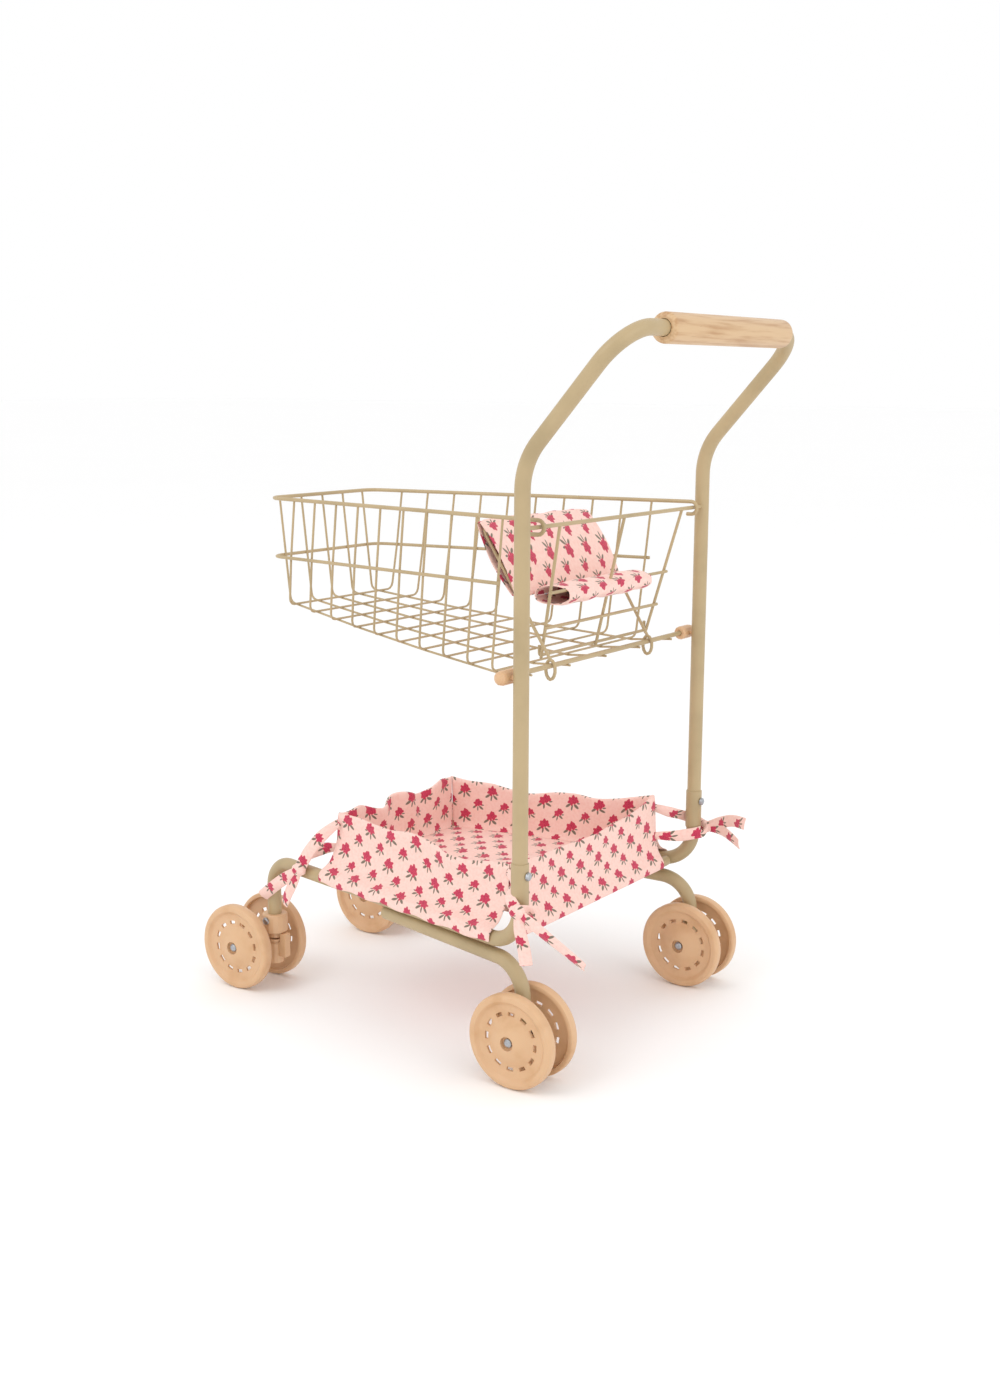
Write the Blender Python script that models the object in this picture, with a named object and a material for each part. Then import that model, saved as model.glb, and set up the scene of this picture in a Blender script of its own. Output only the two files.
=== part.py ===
"""Child's shopping cart: tube frame with twin-wheel casters, wire basket, doll seat and cloth tray.

Metres, +Z up, nose towards -Y, the cart's left towards +X, floor at z = 0.
Every size is given in millimetres times MM and every other place follows from those sizes.
"""

import math

import bmesh
import bpy
from mathutils import Matrix, Vector

MM = 0.001
GAP = 0.3 * MM

# Frame tubes
TUBE_R = 5.9 * MM
REAR_TRACK_X = 135.2 * MM
FRONT_TRACK_X = 89.5 * MM
UPRIGHT_Y = 127.7 * MM
SIDE_REAR_Z = 108.3 * MM
SIDE_FRONT_Z = 114.0 * MM
REAR_BEND_R = 28.0 * MM
STEM_Y = UPRIGHT_Y - 288.0 * MM
STEM_BEND_R = 22.0 * MM
SOCKET_TOP_Z = 173.0 * MM
SOCKET_R = 6.8 * MM
SOCKET_LEN = 34.0 * MM
SOCKET_DEPTH = 20.0 * MM
SOCKET_SCREW_Z = 163.5 * MM
CROSS_R = 4.5 * MM

# Handle
ELBOW_Z = 465.7 * MM
ELBOW_R = 52.0 * MM
SLANT_DEG = 48.3
SLANT_LEN = 124.7 * MM
HAND_BEND_R = 33.0 * MM
GRIP_R = 11.0 * MM
GRIP_HALF = 94.0 * MM
GRIP_X = -8.0 * MM
GRIP_EDGE_R = 3.5 * MM
TUBE_END_X = 60.0 * MM

# Wheels
WHEEL_R = 37.5 * MM
WHEEL_SLOTS = 12
SLOT_RING_R = 21.8 * MM
SLOT_DEG = 13.7
SLOT_RADIAL = 2.9 * MM
REAR_HALF_GAUGE = 16.8 * MM
FRONT_HALF_GAUGE = 24.3 * MM
REAR_AXLE_Y = UPRIGHT_Y + 1.3 * MM
CASTER_TRAIL = 24.0 * MM
AXLE_R = 2.7 * MM
AXLE_Z = WHEEL_R * math.cos(math.radians(SLOT_DEG / 2))
HUB_RECESS_R = 5.5 * MM
HUB_FLOOR = 2.5 * MM
SCREW_HEAD_R = 3.7 * MM
SCREW_SHANK_R = 1.5 * MM
SCREW_BORE_R = 1.9 * MM

# Rear legs
LEG_INSET = 3.6 * MM
LEG_FRONT_Y = UPRIGHT_Y - 149.0 * MM
LEG_FRONT_DROP = 2 * TUBE_R + GAP
LEG_REAR_DROP = 15.5 * MM
LEG_END_Z = 30.0 * MM

# Casters
COLLAR_R = 11.0 * MM
COLLAR_Z = (50.0 * MM, 66.5 * MM)
NECK_R = 6.6 * MM
NECK_Z = 45.5 * MM
CASTER_R = 7.0 * MM
CASTER_Z = (22.5 * MM, 44.0 * MM)
GROOVE_Z = 40.5 * MM
PIN_R = 3.0 * MM
STEM_END_Z = 57.0 * MM
BOSS_R = 7.0 * MM
BOSS_HALF = 9.0 * MM
ARM_HALF = 5.6 * MM

# Basket
RIM_Z = 424.0 * MM
RIM_R = 1.6 * MM
RIM_REAR_HALF = 115.5 * MM
RIM_TAPER = (REAR_TRACK_X - FRONT_TRACK_X) / (UPRIGHT_Y - STEM_Y)
RIM_FRONT_Y = UPRIGHT_Y - 303.5 * MM
RIM_CORNER_R = 13.0 * MM
BELT_Z = 375.2 * MM
BELT_R = 1.4 * MM
RIB_R = 0.95 * MM
RIB_COUNT = 10
RIB_TOP_Y = UPRIGHT_Y - 271.3 * MM
RIB_TOP_PITCH = 26.35 * MM
RIB_BASE_Y = UPRIGHT_Y - 281.5 * MM
RIB_BASE_PITCH = 26.2 * MM
RIB_BASE_HALF = (69.2 * MM, 107.2 * MM)
RIB_CORNER_R = 6.0 * MM
LONG_COUNT = 5
LONG_FRONT_Y = UPRIGHT_Y - 293.0 * MM
LONG_SPREAD = (28.5 * MM, 53.0 * MM)
BASE_REAR_Z = 304.1 * MM
BASE_SLOPE = 0.0667
BASE_CURVE = 0.151
WELD = 0.35 * MM
ROD_R = 2.0 * MM
ROD_Y = UPRIGHT_Y - 13.0 * MM
ROD_Z = 310.9 * MM
ROD_HALF = REAR_TRACK_X + 4.8 * MM
CAP_R = 5.6 * MM
CAP_X = (REAR_TRACK_X - 10.2 * MM, REAR_TRACK_X + 11.8 * MM)
STUD_R = 2.0 * MM

# Rear gate
BAR_R = 1.6 * MM
BAR_Y = UPRIGHT_Y + 1.5 * MM
BAR_Z = RIM_Z - 4.9 * MM
BAR_HALF = REAR_TRACK_X - 2.2 * MM
HOOK_R = 5.2 * MM
GATE_R = 1.3 * MM
GATE_TOP_X = -5.0 * MM
GATE_BASE_X = -8.5 * MM
GATE_TOP_HALF = 92.8 * MM
GATE_BASE_HALF = 79.0 * MM
GATE_BASE_Y = UPRIGHT_Y - 26.0 * MM
GATE_BASE_Z = 312.0 * MM
GATE_MID_SHARE = 0.745
GATE_SEAT_SHARE = 0.487
STUB_LEN = 8.0 * MM

# Doll seat
SEAT_R = 1.3 * MM
SEAT_X = 3.0 * MM
SEAT_HALF_TOP = 76.0 * MM
SEAT_HALF_BASE = 73.5 * MM
SEAT_TOP_Y = UPRIGHT_Y - 76.0 * MM
SEAT_TOP_Z = 414.0 * MM
SEAT_CORNER_R = 10.0 * MM
LOOP_HALF_Y = 4.2 * MM
LOOP_UP = 4.5 * MM
LOOP_DOWN = 10.5 * MM
COVER_WALL = 1.5 * MM
COVER_HALF = 80.0 * MM
CUSHION_HALF = 64.0 * MM
CUSHION_THICK = 8.0 * MM

# Cloth tray
CLOTH = 1.5 * MM
TRAY_REAR_Y = UPRIGHT_Y - 25.5 * MM
TRAY_FRONT_Y = UPRIGHT_Y - 222.0 * MM
TRAY_SIDE_GAP = 20.0 * MM
TRAY_FLOOR_Z = 118.0 * MM
TRAY_REAR_TOP_Z = 167.0 * MM
TRAY_FRONT_TOP_Z = 164.0 * MM
CROSS_REAR_Y = TRAY_REAR_Y + CROSS_R + 2 * GAP
CROSS_FRONT_Y = TRAY_FRONT_Y - CROSS_R - 2 * GAP
HEM_OUT = TUBE_R + GAP + CLOTH
HEM_TOP_Z = SIDE_FRONT_Z + TUBE_R + 2 * GAP
HEM_LOW_Z = 109.0 * MM
TIE_T = 2.0 * MM
KNOT_HALF = (3.5 * MM, 7.0 * MM, 5.0 * MM)
TAPE_HALF = 5.0 * MM
FRONT_TIE_Y = UPRIGHT_Y - 242.0 * MM
REAR_TIE_Y = UPRIGHT_Y + 4.0 * MM


# ---------------------------------------------------------------- materials


def material(name, colour, metallic, roughness):
    """One Principled material."""
    made = bpy.data.materials.new(name)
    made.use_nodes = True
    shader = made.node_tree.nodes["Principled BSDF"]
    shader.inputs["Base Color"].default_value = (*colour, 1.0)
    shader.inputs["Metallic"].default_value = metallic
    shader.inputs["Roughness"].default_value = roughness
    return made


def painted_steel(name):
    """Beige powder-coated steel."""
    return material(name, (0.58, 0.46, 0.31), 0.0, 0.45)


def peach_plastic(name):
    """Peach moulded plastic."""
    return material(name, (0.72, 0.46, 0.29), 0.0, 0.5)


def zinc_steel(name):
    """Bright zinc-plated screw steel."""
    return material(name, (0.75, 0.76, 0.78), 1.0, 0.3)


def print_cloth(name):
    """Pale pink printed cotton."""
    return material(name, (0.90, 0.66, 0.60), 0.0, 0.9)


def beech(name):
    """Lacquered tan wood."""
    return material(name, (0.62, 0.42, 0.26), 0.0, 0.5)


# ---------------------------------------------------------------- geometry


def new_object(name, mesh, finish):
    """Links a mesh as a named object that carries one material."""
    made = bpy.data.objects.new(name, mesh)
    bpy.context.scene.collection.objects.link(made)
    if finish is not None:
        made.data.materials.clear()
        made.data.materials.append(finish)
    return made


def mesh_from(points, faces):
    """A mesh whose normals face out."""
    made = bpy.data.meshes.new("shape")
    shape = bmesh.new()
    corners = [shape.verts.new(p) for p in points]
    for face in faces:
        shape.faces.new([corners[i] for i in face])
    bmesh.ops.recalc_face_normals(shape, faces=shape.faces)
    shape.to_mesh(made)
    shape.free()
    return made


def rounded(points, radii, step_deg=15.0):
    """The polyline with each inner corner replaced by an arc of its radius."""
    points = [Vector(p) for p in points]
    path = [points[0]]
    for before, corner, after, radius in zip(points, points[1:], points[2:], radii):
        arrive = (corner - before).normalized()
        leave = (after - corner).normalized()
        turn = arrive.angle(leave)
        if radius <= 0.0 or turn < 1e-4:
            path.append(corner)
            continue
        reach = radius * math.tan(turn / 2)
        side = (leave - arrive * arrive.dot(leave)).normalized()
        start = corner - arrive * reach
        centre = start + side * radius
        steps = max(2, math.ceil(math.degrees(turn) / step_deg))
        for i in range(steps + 1):
            angle = turn * i / steps
            path.append(centre - side * radius * math.cos(angle) + arrive * radius * math.sin(angle))
    path.append(points[-1])
    return path


def sweep(path, radii, sides, closed=False, spin_deg=0.0):
    """A round bar along the path. The radius is one number or one for each point."""
    path = [Vector(p) for p in path]
    count = len(path)
    if not hasattr(radii, "__len__"):
        radii = [radii] * count
    tangents = []
    for i in range(count):
        before = path[i - 1] if closed or i > 0 else path[i]
        after = path[(i + 1) % count] if closed or i < count - 1 else path[i]
        tangents.append((after - before).normalized())
    up = Vector((1.0, 0.0, 0.0)) if abs(tangents[0].x) < 0.9 else Vector((0.0, 0.0, 1.0))
    side = (up - tangents[0] * up.dot(tangents[0])).normalized()
    points = []
    for i in range(count):
        side = (side - tangents[i] * side.dot(tangents[i])).normalized()
        across = tangents[i].cross(side)
        # The ring is widened on a corner so that the bar keeps its thickness on both legs.
        stretch = 1.0
        bend = Vector((0.0, 0.0, 0.0))
        if closed or 0 < i < count - 1:
            arrive = (path[i] - path[i - 1]).normalized()
            leave = (path[(i + 1) % count] - path[i]).normalized()
            half = arrive.angle(leave) / 2
            if half > 1e-4:
                stretch = 1.0 / math.cos(half)
                bend = (leave - arrive).normalized()
        for j in range(sides):
            angle = math.radians(spin_deg) + 2 * math.pi * j / sides
            out = (side * math.cos(angle) + across * math.sin(angle)) * radii[i]
            out += bend * out.dot(bend) * (stretch - 1.0)
            points.append(path[i] + out)
    faces = []
    for i in range(count if closed else count - 1):
        a = i * sides
        b = ((i + 1) % count) * sides
        for j in range(sides):
            k = (j + 1) % sides
            faces.append((a + j, a + k, b + k, b + j))
    if not closed:
        faces.append(tuple(range(sides)))
        faces.append(tuple(range((count - 1) * sides, count * sides)))
    return mesh_from(points, faces)


def turned(profile, sides, axis="Z", closed=True):
    """A turned solid from (radius, height) points; a radius of zero closes it on the axis."""
    points = []
    rows = []
    for radius, height in profile:
        if radius <= 0.0:
            rows.append([len(points)])
            points.append((0.0, 0.0, height))
            continue
        rows.append(list(range(len(points), len(points) + sides)))
        for j in range(sides):
            angle = 2 * math.pi * (j + 0.5) / sides
            points.append((radius * math.cos(angle), radius * math.sin(angle), height))
    pairs = list(zip(rows, rows[1:]))
    if closed:
        pairs.append((rows[-1], rows[0]))
    faces = []
    for a, b in pairs:
        if len(a) == 1 and len(b) == 1:
            continue
        for j in range(sides):
            k = (j + 1) % sides
            if len(a) == 1:
                faces.append((a[0], b[j], b[k]))
            elif len(b) == 1:
                faces.append((a[j], a[k], b[0]))
            else:
                faces.append((a[j], a[k], b[k], b[j]))
    if axis == "X":
        points = [(z, x, y) for x, y, z in points]
    if axis == "Y":
        points = [(x, z, y) for x, y, z in points]
    return mesh_from(points, faces)


def slab(low, high):
    """A box between two corners."""
    points = [
        (x, y, z) for x in (low[0], high[0]) for y in (low[1], high[1]) for z in (low[2], high[2])
    ]
    faces = [(0, 1, 3, 2), (4, 6, 7, 5), (0, 4, 5, 1), (2, 3, 7, 6), (0, 2, 6, 4), (1, 5, 7, 3)]
    return mesh_from(points, faces)


def moved(mesh, place):
    """The mesh moved by a vector or a matrix."""
    if isinstance(place, Matrix):
        mesh.transform(place)
    else:
        mesh.transform(Matrix.Translation(Vector(place)))
    return mesh


def combined(first, others, operation):
    """The first mesh joined with the others, or cut by them, as one new mesh."""
    base = new_object("base", first, None)
    tools = bpy.data.collections.new("tools")
    bpy.context.scene.collection.children.link(tools)
    for mesh in others:
        tool = bpy.data.objects.new("tool", mesh)
        tools.objects.link(tool)
    step = base.modifiers.new("step", "BOOLEAN")
    step.operation = operation
    step.operand_type = "COLLECTION"
    step.collection = tools
    step.solver = "EXACT"
    bpy.context.view_layer.update()
    graph = bpy.context.evaluated_depsgraph_get()
    result = bpy.data.meshes.new_from_object(base.evaluated_get(graph))
    for helper in [base, *tools.objects]:
        bpy.data.objects.remove(helper, do_unlink=True)
    bpy.data.collections.remove(tools)
    return result


def pinned(name, mesh, finish, pivot):
    """An object whose origin lies on its joint axis."""
    mesh.transform(Matrix.Translation(-Vector(pivot)))
    made = new_object(name, mesh, finish)
    made.location = pivot
    return made


def rod_between(a, b, radius, sides, overrun=0.0):
    """A straight bar between two points, run past both by the overrun."""
    a = Vector(a)
    b = Vector(b)
    along = (b - a).normalized() * overrun
    return sweep([a - along, b + along], radius, sides)


# ---------------------------------------------------------------- frame


def side_z(y):
    """Height of the side tube's axis, which falls a little towards the rear."""
    front = STEM_Y + STEM_BEND_R
    rear = UPRIGHT_Y - REAR_BEND_R
    share = (y - front) / (rear - front)
    return SIDE_FRONT_Z + (SIDE_REAR_Z - SIDE_FRONT_Z) * share


def side_x(y):
    """Distance of the side tube's axis from the middle, which falls towards the nose."""
    return REAR_TRACK_X + RIM_TAPER * (y - UPRIGHT_Y)


def side_frame(name, side, finish):
    """Caster stem, side tube and rear socket bent from one tube."""
    stem_x = side * FRONT_TRACK_X
    x = side * REAR_TRACK_X
    path = rounded(
        [
            (stem_x, STEM_Y, STEM_END_Z),
            (stem_x, STEM_Y, side_z(STEM_Y)),
            (x, UPRIGHT_Y, side_z(UPRIGHT_Y)),
            (x, UPRIGHT_Y, SOCKET_TOP_Z - SOCKET_LEN),
        ],
        [STEM_BEND_R, REAR_BEND_R],
    )
    radii = [TUBE_R] * len(path)
    flare = SOCKET_TOP_Z - SOCKET_LEN
    path.append(Vector((x, UPRIGHT_Y, flare + 2.0 * MM)))
    radii.append(SOCKET_R)
    path.append(Vector((x, UPRIGHT_Y, SOCKET_TOP_Z)))
    radii.append(SOCKET_R)
    tube = sweep(path, radii, 12)
    bore = rod_between(
        (x, UPRIGHT_Y, SOCKET_TOP_Z - SOCKET_DEPTH),
        (x, UPRIGHT_Y, SOCKET_TOP_Z + 5.0 * MM),
        TUBE_R + GAP,
        12,
    )
    screw_hole = screw_bore((x, UPRIGHT_Y, SOCKET_SCREW_Z), (0.0, 10.0 * MM, 0.0))
    collar_hole = screw_bore((stem_x, STEM_Y, screw_height()), (side * 8.0 * MM, 0.0, 0.0))
    return new_object(name, combined(tube, [bore, screw_hole, collar_hole], "DIFFERENCE"), finish)


def screw_bore(start, reach):
    """Cutter for a screw's shank."""
    return rod_between(start, Vector(start) + Vector(reach), SCREW_BORE_R, 8)


def screw_height():
    """Height of the screw through the caster collar."""
    return (STEM_END_Z + COLLAR_Z[1]) / 2


def handle_tube(name, side, finish):
    """Upright, slanted arm and hand bend of one side, up to its end inside the grip."""
    x = side * REAR_TRACK_X
    slant = math.radians(SLANT_DEG)
    elbow = Vector((x, UPRIGHT_Y, ELBOW_Z))
    hand = elbow + Vector((0.0, math.cos(slant), math.sin(slant))) * SLANT_LEN
    inner = Vector((side * TUBE_END_X, hand.y, hand.z))
    foot = Vector((x, UPRIGHT_Y, SOCKET_TOP_Z - SOCKET_DEPTH + GAP))
    path = rounded([foot, elbow, hand, inner], [ELBOW_R, HAND_BEND_R], 11.0)
    tube = sweep(path, TUBE_R, 12)
    bar_hole = rod_between(
        (x - side * 8.0 * MM, BAR_Y, BAR_Z), (side * (BAR_HALF + GAP), BAR_Y, BAR_Z), BAR_R + GAP, 8
    )
    stud_hole = rod_between(
        (x, UPRIGHT_Y - 10.0 * MM, ROD_Z), (x, UPRIGHT_Y + 1.0 * MM, ROD_Z), STUD_R + GAP, 8
    )
    screw_hole = screw_bore((x, UPRIGHT_Y - 1.0 * MM, SOCKET_SCREW_Z), (0.0, 11.0 * MM, 0.0))
    return new_object(name, combined(tube, [bar_hole, stud_hole, screw_hole], "DIFFERENCE"), finish)


def hand_place():
    """Middle of the two hand bends."""
    slant = math.radians(SLANT_DEG)
    return Vector(
        (0.0, UPRIGHT_Y + SLANT_LEN * math.cos(slant), ELBOW_Z + SLANT_LEN * math.sin(slant))
    )


def grip_end(end):
    """Profile of one end of the grip, rounded outside and bored for the tube."""
    edge = GRIP_EDGE_R
    rows = []
    for i in range(4):
        angle = math.radians(30.0 * i)
        rows.append((GRIP_R - edge + edge * math.cos(angle), end - edge + edge * math.sin(angle)))
    rows.append((TUBE_R + GAP, end))
    rows.append((TUBE_R + GAP, TUBE_END_X - GAP))
    rows.append((0.0, TUBE_END_X - GAP))
    return rows


def grip(finish):
    """Turned handle with rounded ends, a blind bore for each tube, and set a little to the right."""
    right = [(radius, -height) for radius, height in reversed(grip_end(GRIP_HALF - GRIP_X))]
    mesh = turned(right + grip_end(GRIP_HALF + GRIP_X), 20, "X", closed=False)
    return new_object("handle_grip", moved(mesh, hand_place()), finish)


def rear_leg(name, side, finish):
    """Short tube welded under the side tube and bent down to the rear axle."""
    x = side * (REAR_TRACK_X - LEG_INSET)
    front_x = side * (side_x(LEG_FRONT_Y) - LEG_INSET)
    front_z = side_z(LEG_FRONT_Y) - LEG_FRONT_DROP
    corner_z = side_z(REAR_AXLE_Y) - LEG_REAR_DROP
    path = rounded(
        [
            (front_x, LEG_FRONT_Y, front_z),
            (x, REAR_AXLE_Y, corner_z),
            (x, REAR_AXLE_Y, LEG_END_Z),
        ],
        [REAR_BEND_R],
    )
    tube = sweep(path, TUBE_R, 12)
    hole = rod_between(
        (x - 10 * MM, REAR_AXLE_Y, AXLE_Z), (x + 10 * MM, REAR_AXLE_Y, AXLE_Z), AXLE_R + GAP, 12
    )
    return new_object(name, combined(tube, [hole], "DIFFERENCE"), finish)


def cross_tube(name, y, finish):
    """Straight tube between the two side tubes."""
    half = side_x(y) - TUBE_R - 4 * GAP
    mesh = rod_between((-half, y, side_z(y)), (half, y, side_z(y)), CROSS_R, 12)
    return new_object(name, mesh, finish)


def screw_mesh(head_r, head_h, shank_r, shank_len):
    """Pan-head screw along +Z: head above z = 0, shank below."""
    return turned(
        [
            (0.0, head_h),
            (head_r * 0.55, head_h),
            (head_r * 0.9, head_h * 0.65),
            (head_r, 0.0),
            (shank_r, 0.0),
            (shank_r, -shank_len),
            (0.0, -shank_len),
        ],
        12,
        closed=False,
    )


def socket_screw(name, x, finish):
    """Screw through the socket into the upright, head to the rear."""
    mesh = screw_mesh(3.4 * MM, 2.2 * MM, SCREW_SHANK_R, 7.0 * MM)
    mesh.transform(Matrix.Rotation(math.radians(-90), 4, "X"))
    return new_object(
        name, moved(mesh, (x, UPRIGHT_Y + SOCKET_R + GAP, SOCKET_SCREW_Z)), finish
    )


# ---------------------------------------------------------------- wheels


def wheel_angles():
    """Facet corners round the wheel: one facet on each slot and one between slots."""
    angles = []
    for i in range(WHEEL_SLOTS):
        start = 360.0 / WHEEL_SLOTS * i - SLOT_DEG / 2
        angles += [start, start + SLOT_DEG]
    return [math.radians(a) for a in angles]


def wheel_mesh():
    """Moulded wheel about the X axis: domed slotted face towards +X, hollow towards -X."""
    slot_in = SLOT_RING_R - SLOT_RADIAL / 2
    slot_out = SLOT_RING_R + SLOT_RADIAL / 2
    face = 0.0
    back = -2.2 * MM
    profile = [
        (AXLE_R + GAP, HUB_FLOOR),
        (HUB_RECESS_R, HUB_FLOOR),
        (HUB_RECESS_R, 5.8 * MM),
        (13.0 * MM, 3.6 * MM),
        (slot_in, face),
        (slot_out, face),
        (28.4 * MM, face),
        (32.2 * MM, 3.2 * MM),
        (35.4 * MM, 2.8 * MM),
        (WHEEL_R, 0.6 * MM),
        (WHEEL_R, -4.4 * MM),
        (35.6 * MM, -6.2 * MM),
        (33.4 * MM, -6.2 * MM),
        (32.6 * MM, back),
        (slot_out, back),
        (slot_in, back),
        (8.0 * MM, back),
        (7.5 * MM, -7.0 * MM),
        (AXLE_R + GAP, -7.0 * MM),
    ]
    angles = wheel_angles()
    count = len(angles)
    points = []
    for radius, height in profile:
        for angle in angles:
            points.append((height, radius * math.sin(angle), -radius * math.cos(angle)))
    faces = []
    front_row = 4
    back_row = 13
    for i in range(len(profile)):
        a = i * count
        b = ((i + 1) % len(profile)) * count
        for j in range(count):
            k = (j + 1) % count
            if i in (front_row, back_row) and j % 2 == 0:
                continue
            faces.append((a + j, a + k, b + k, b + j))
    rows = {
        "front_in": front_row * count,
        "front_out": (front_row + 1) * count,
        "back_out": back_row * count,
        "back_in": (back_row + 1) * count,
    }
    for j in range(0, count, 2):
        k = (j + 1) % count
        ring = ["front_in", "front_out", "back_out", "back_in"]
        for one, two in zip(ring, ring[1:] + ring[:1]):
            if one == "front_in" or one == "back_out":
                # The two ends of the slot join the front and back rows.
                continue
            faces.append((rows[one] + j, rows[one] + k, rows[two] + k, rows[two] + j))
        faces.append(tuple(rows[row] + j for row in ring))
        faces.append(tuple(rows[row] + k for row in ring))
    return mesh_from(points, faces)


def wheel(name, hub_x, outward, y, finish):
    """A wheel with its domed face towards outward (+1 or -1)."""
    mesh = wheel_mesh()
    if outward < 0:
        mesh.transform(Matrix.Rotation(math.pi, 4, "Z"))
    made = new_object(name, mesh, finish)
    made.location = (hub_x, y, AXLE_Z)
    return made


def axle(name, x, y, half, finish):
    """Plain pin that carries two wheels."""
    mesh = rod_between((x - half, y, AXLE_Z), (x + half, y, AXLE_Z), AXLE_R, 12)
    return new_object(name, mesh, finish)


def wheel_screw(name, hub_x, outward, y, finish):
    """Screw head in the hub recess, seated on the end of the axle."""
    mesh = turned(
        [
            (0.0, 2.0 * MM),
            (SCREW_HEAD_R * 0.6, 1.9 * MM),
            (SCREW_HEAD_R * 0.92, 1.2 * MM),
            (SCREW_HEAD_R, 0.0),
            (0.0, 0.0),
        ],
        12,
        "X",
        closed=False,
    )
    mesh = moved(mesh, (HUB_FLOOR + GAP, 0.0, 0.0))
    if outward < 0:
        mesh.transform(Matrix.Rotation(math.pi, 4, "Z"))
    return new_object(name, moved(mesh, (hub_x, y, AXLE_Z)), finish)


# ---------------------------------------------------------------- casters


def caster_collar(name, x, finish):
    """Fixed collar clamped on the stem, with a neck below it."""
    bore = TUBE_R + GAP
    side = math.copysign(1.0, x)
    mesh = turned(
        [
            (bore, COLLAR_Z[1]),
            (COLLAR_R - 0.8 * MM, COLLAR_Z[1]),
            (COLLAR_R, COLLAR_Z[1] - 1.0 * MM),
            (COLLAR_R, COLLAR_Z[0] + 1.0 * MM),
            (COLLAR_R - 1.0 * MM, COLLAR_Z[0]),
            (NECK_R, COLLAR_Z[0]),
            (NECK_R, NECK_Z),
            (PIN_R + GAP, NECK_Z),
            (PIN_R + GAP, STEM_END_Z - GAP),
            (bore, STEM_END_Z - GAP),
        ],
        16,
    )
    mesh = moved(mesh, (x, STEM_Y, 0.0))
    hole = screw_bore((x, STEM_Y, screw_height()), (side * 2 * COLLAR_R, 0.0, 0.0))
    return new_object(name, combined(mesh, [hole], "DIFFERENCE"), finish)


def collar_screw(name, x, finish):
    """Screw through the outer side of the collar into the stem."""
    side = math.copysign(1.0, x)
    mesh = screw_mesh(3.3 * MM, 1.8 * MM, SCREW_SHANK_R, 8.0 * MM)
    mesh.transform(Matrix.Rotation(math.radians(90 * side), 4, "Y"))
    place = (x + side * (COLLAR_R + GAP), STEM_Y, screw_height())
    return new_object(name, moved(mesh, place), finish)


def caster_body(name, x, finish):
    """Turning body: barrel on a pin, an arm to the axle and a lock tab at the rear."""
    barrel = turned(
        [
            (0.0, CASTER_Z[0]),
            (CASTER_R, CASTER_Z[0]),
            (CASTER_R, GROOVE_Z),
            (CASTER_R - 0.8 * MM, GROOVE_Z),
            (CASTER_R - 0.8 * MM, GROOVE_Z + 1.6 * MM),
            (CASTER_R, GROOVE_Z + 1.6 * MM),
            (CASTER_R, CASTER_Z[1]),
            (PIN_R, CASTER_Z[1]),
            (PIN_R, STEM_END_Z - 2.0 * MM),
            (0.0, STEM_END_Z - 2.0 * MM),
        ],
        16,
        closed=False,
    )
    barrel = moved(barrel, (x, STEM_Y, 0.0))
    boss = turned(
        [(0.0, -BOSS_HALF), (BOSS_R, -BOSS_HALF), (BOSS_R, BOSS_HALF), (0.0, BOSS_HALF)],
        16,
        "X",
        closed=False,
    )
    boss = moved(boss, (x, STEM_Y - CASTER_TRAIL, AXLE_Z))
    arm = slab(
        (x - ARM_HALF, STEM_Y - CASTER_TRAIL, AXLE_Z - 6.0 * MM),
        (x + ARM_HALF, STEM_Y, AXLE_Z + 3.4 * MM),
    )
    tab = slab(
        (x - 3.2 * MM, STEM_Y + CASTER_R - 2.0 * MM, CASTER_Z[0] + 6.5 * MM),
        (x + 3.2 * MM, STEM_Y + CASTER_R + 7.0 * MM, COLLAR_Z[0] - GAP),
    )
    tab_slot = slab(
        (x - 8.0 * MM, STEM_Y + NECK_R - 4.0 * MM, GROOVE_Z + 1.0 * MM),
        (x + 8.0 * MM, STEM_Y + NECK_R + 1.4 * MM, COLLAR_Z[0] + 5.0 * MM),
    )
    tab = combined(tab, [tab_slot], "DIFFERENCE")
    body = combined(barrel, [boss, arm, tab], "UNION")
    hole_y = STEM_Y - CASTER_TRAIL
    reach = 2 * BOSS_HALF
    hole = rod_between((x - reach, hole_y, AXLE_Z), (x + reach, hole_y, AXLE_Z), AXLE_R + GAP, 12)
    body = combined(body, [hole], "DIFFERENCE")
    return pinned(name, body, finish, (x, STEM_Y, AXLE_Z))


# ---------------------------------------------------------------- basket


def rim_half(y):
    """Half width of the basket at rim height."""
    return RIM_REAR_HALF + RIM_TAPER * (y - UPRIGHT_Y)


def base_z(y):
    """Height of the ribs along the basket floor, which falls towards the rear."""
    back = UPRIGHT_Y - y
    return BASE_REAR_Z + BASE_SLOPE * back + BASE_CURVE * back * back


def long_x(k, y):
    """Place across the basket of the k-th wire from the middle at y."""
    share = (y - RIB_BASE_Y) / (ROD_Y - RIB_BASE_Y)
    return k * (LONG_SPREAD[0] + (LONG_SPREAD[1] - LONG_SPREAD[0]) * share)


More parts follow.
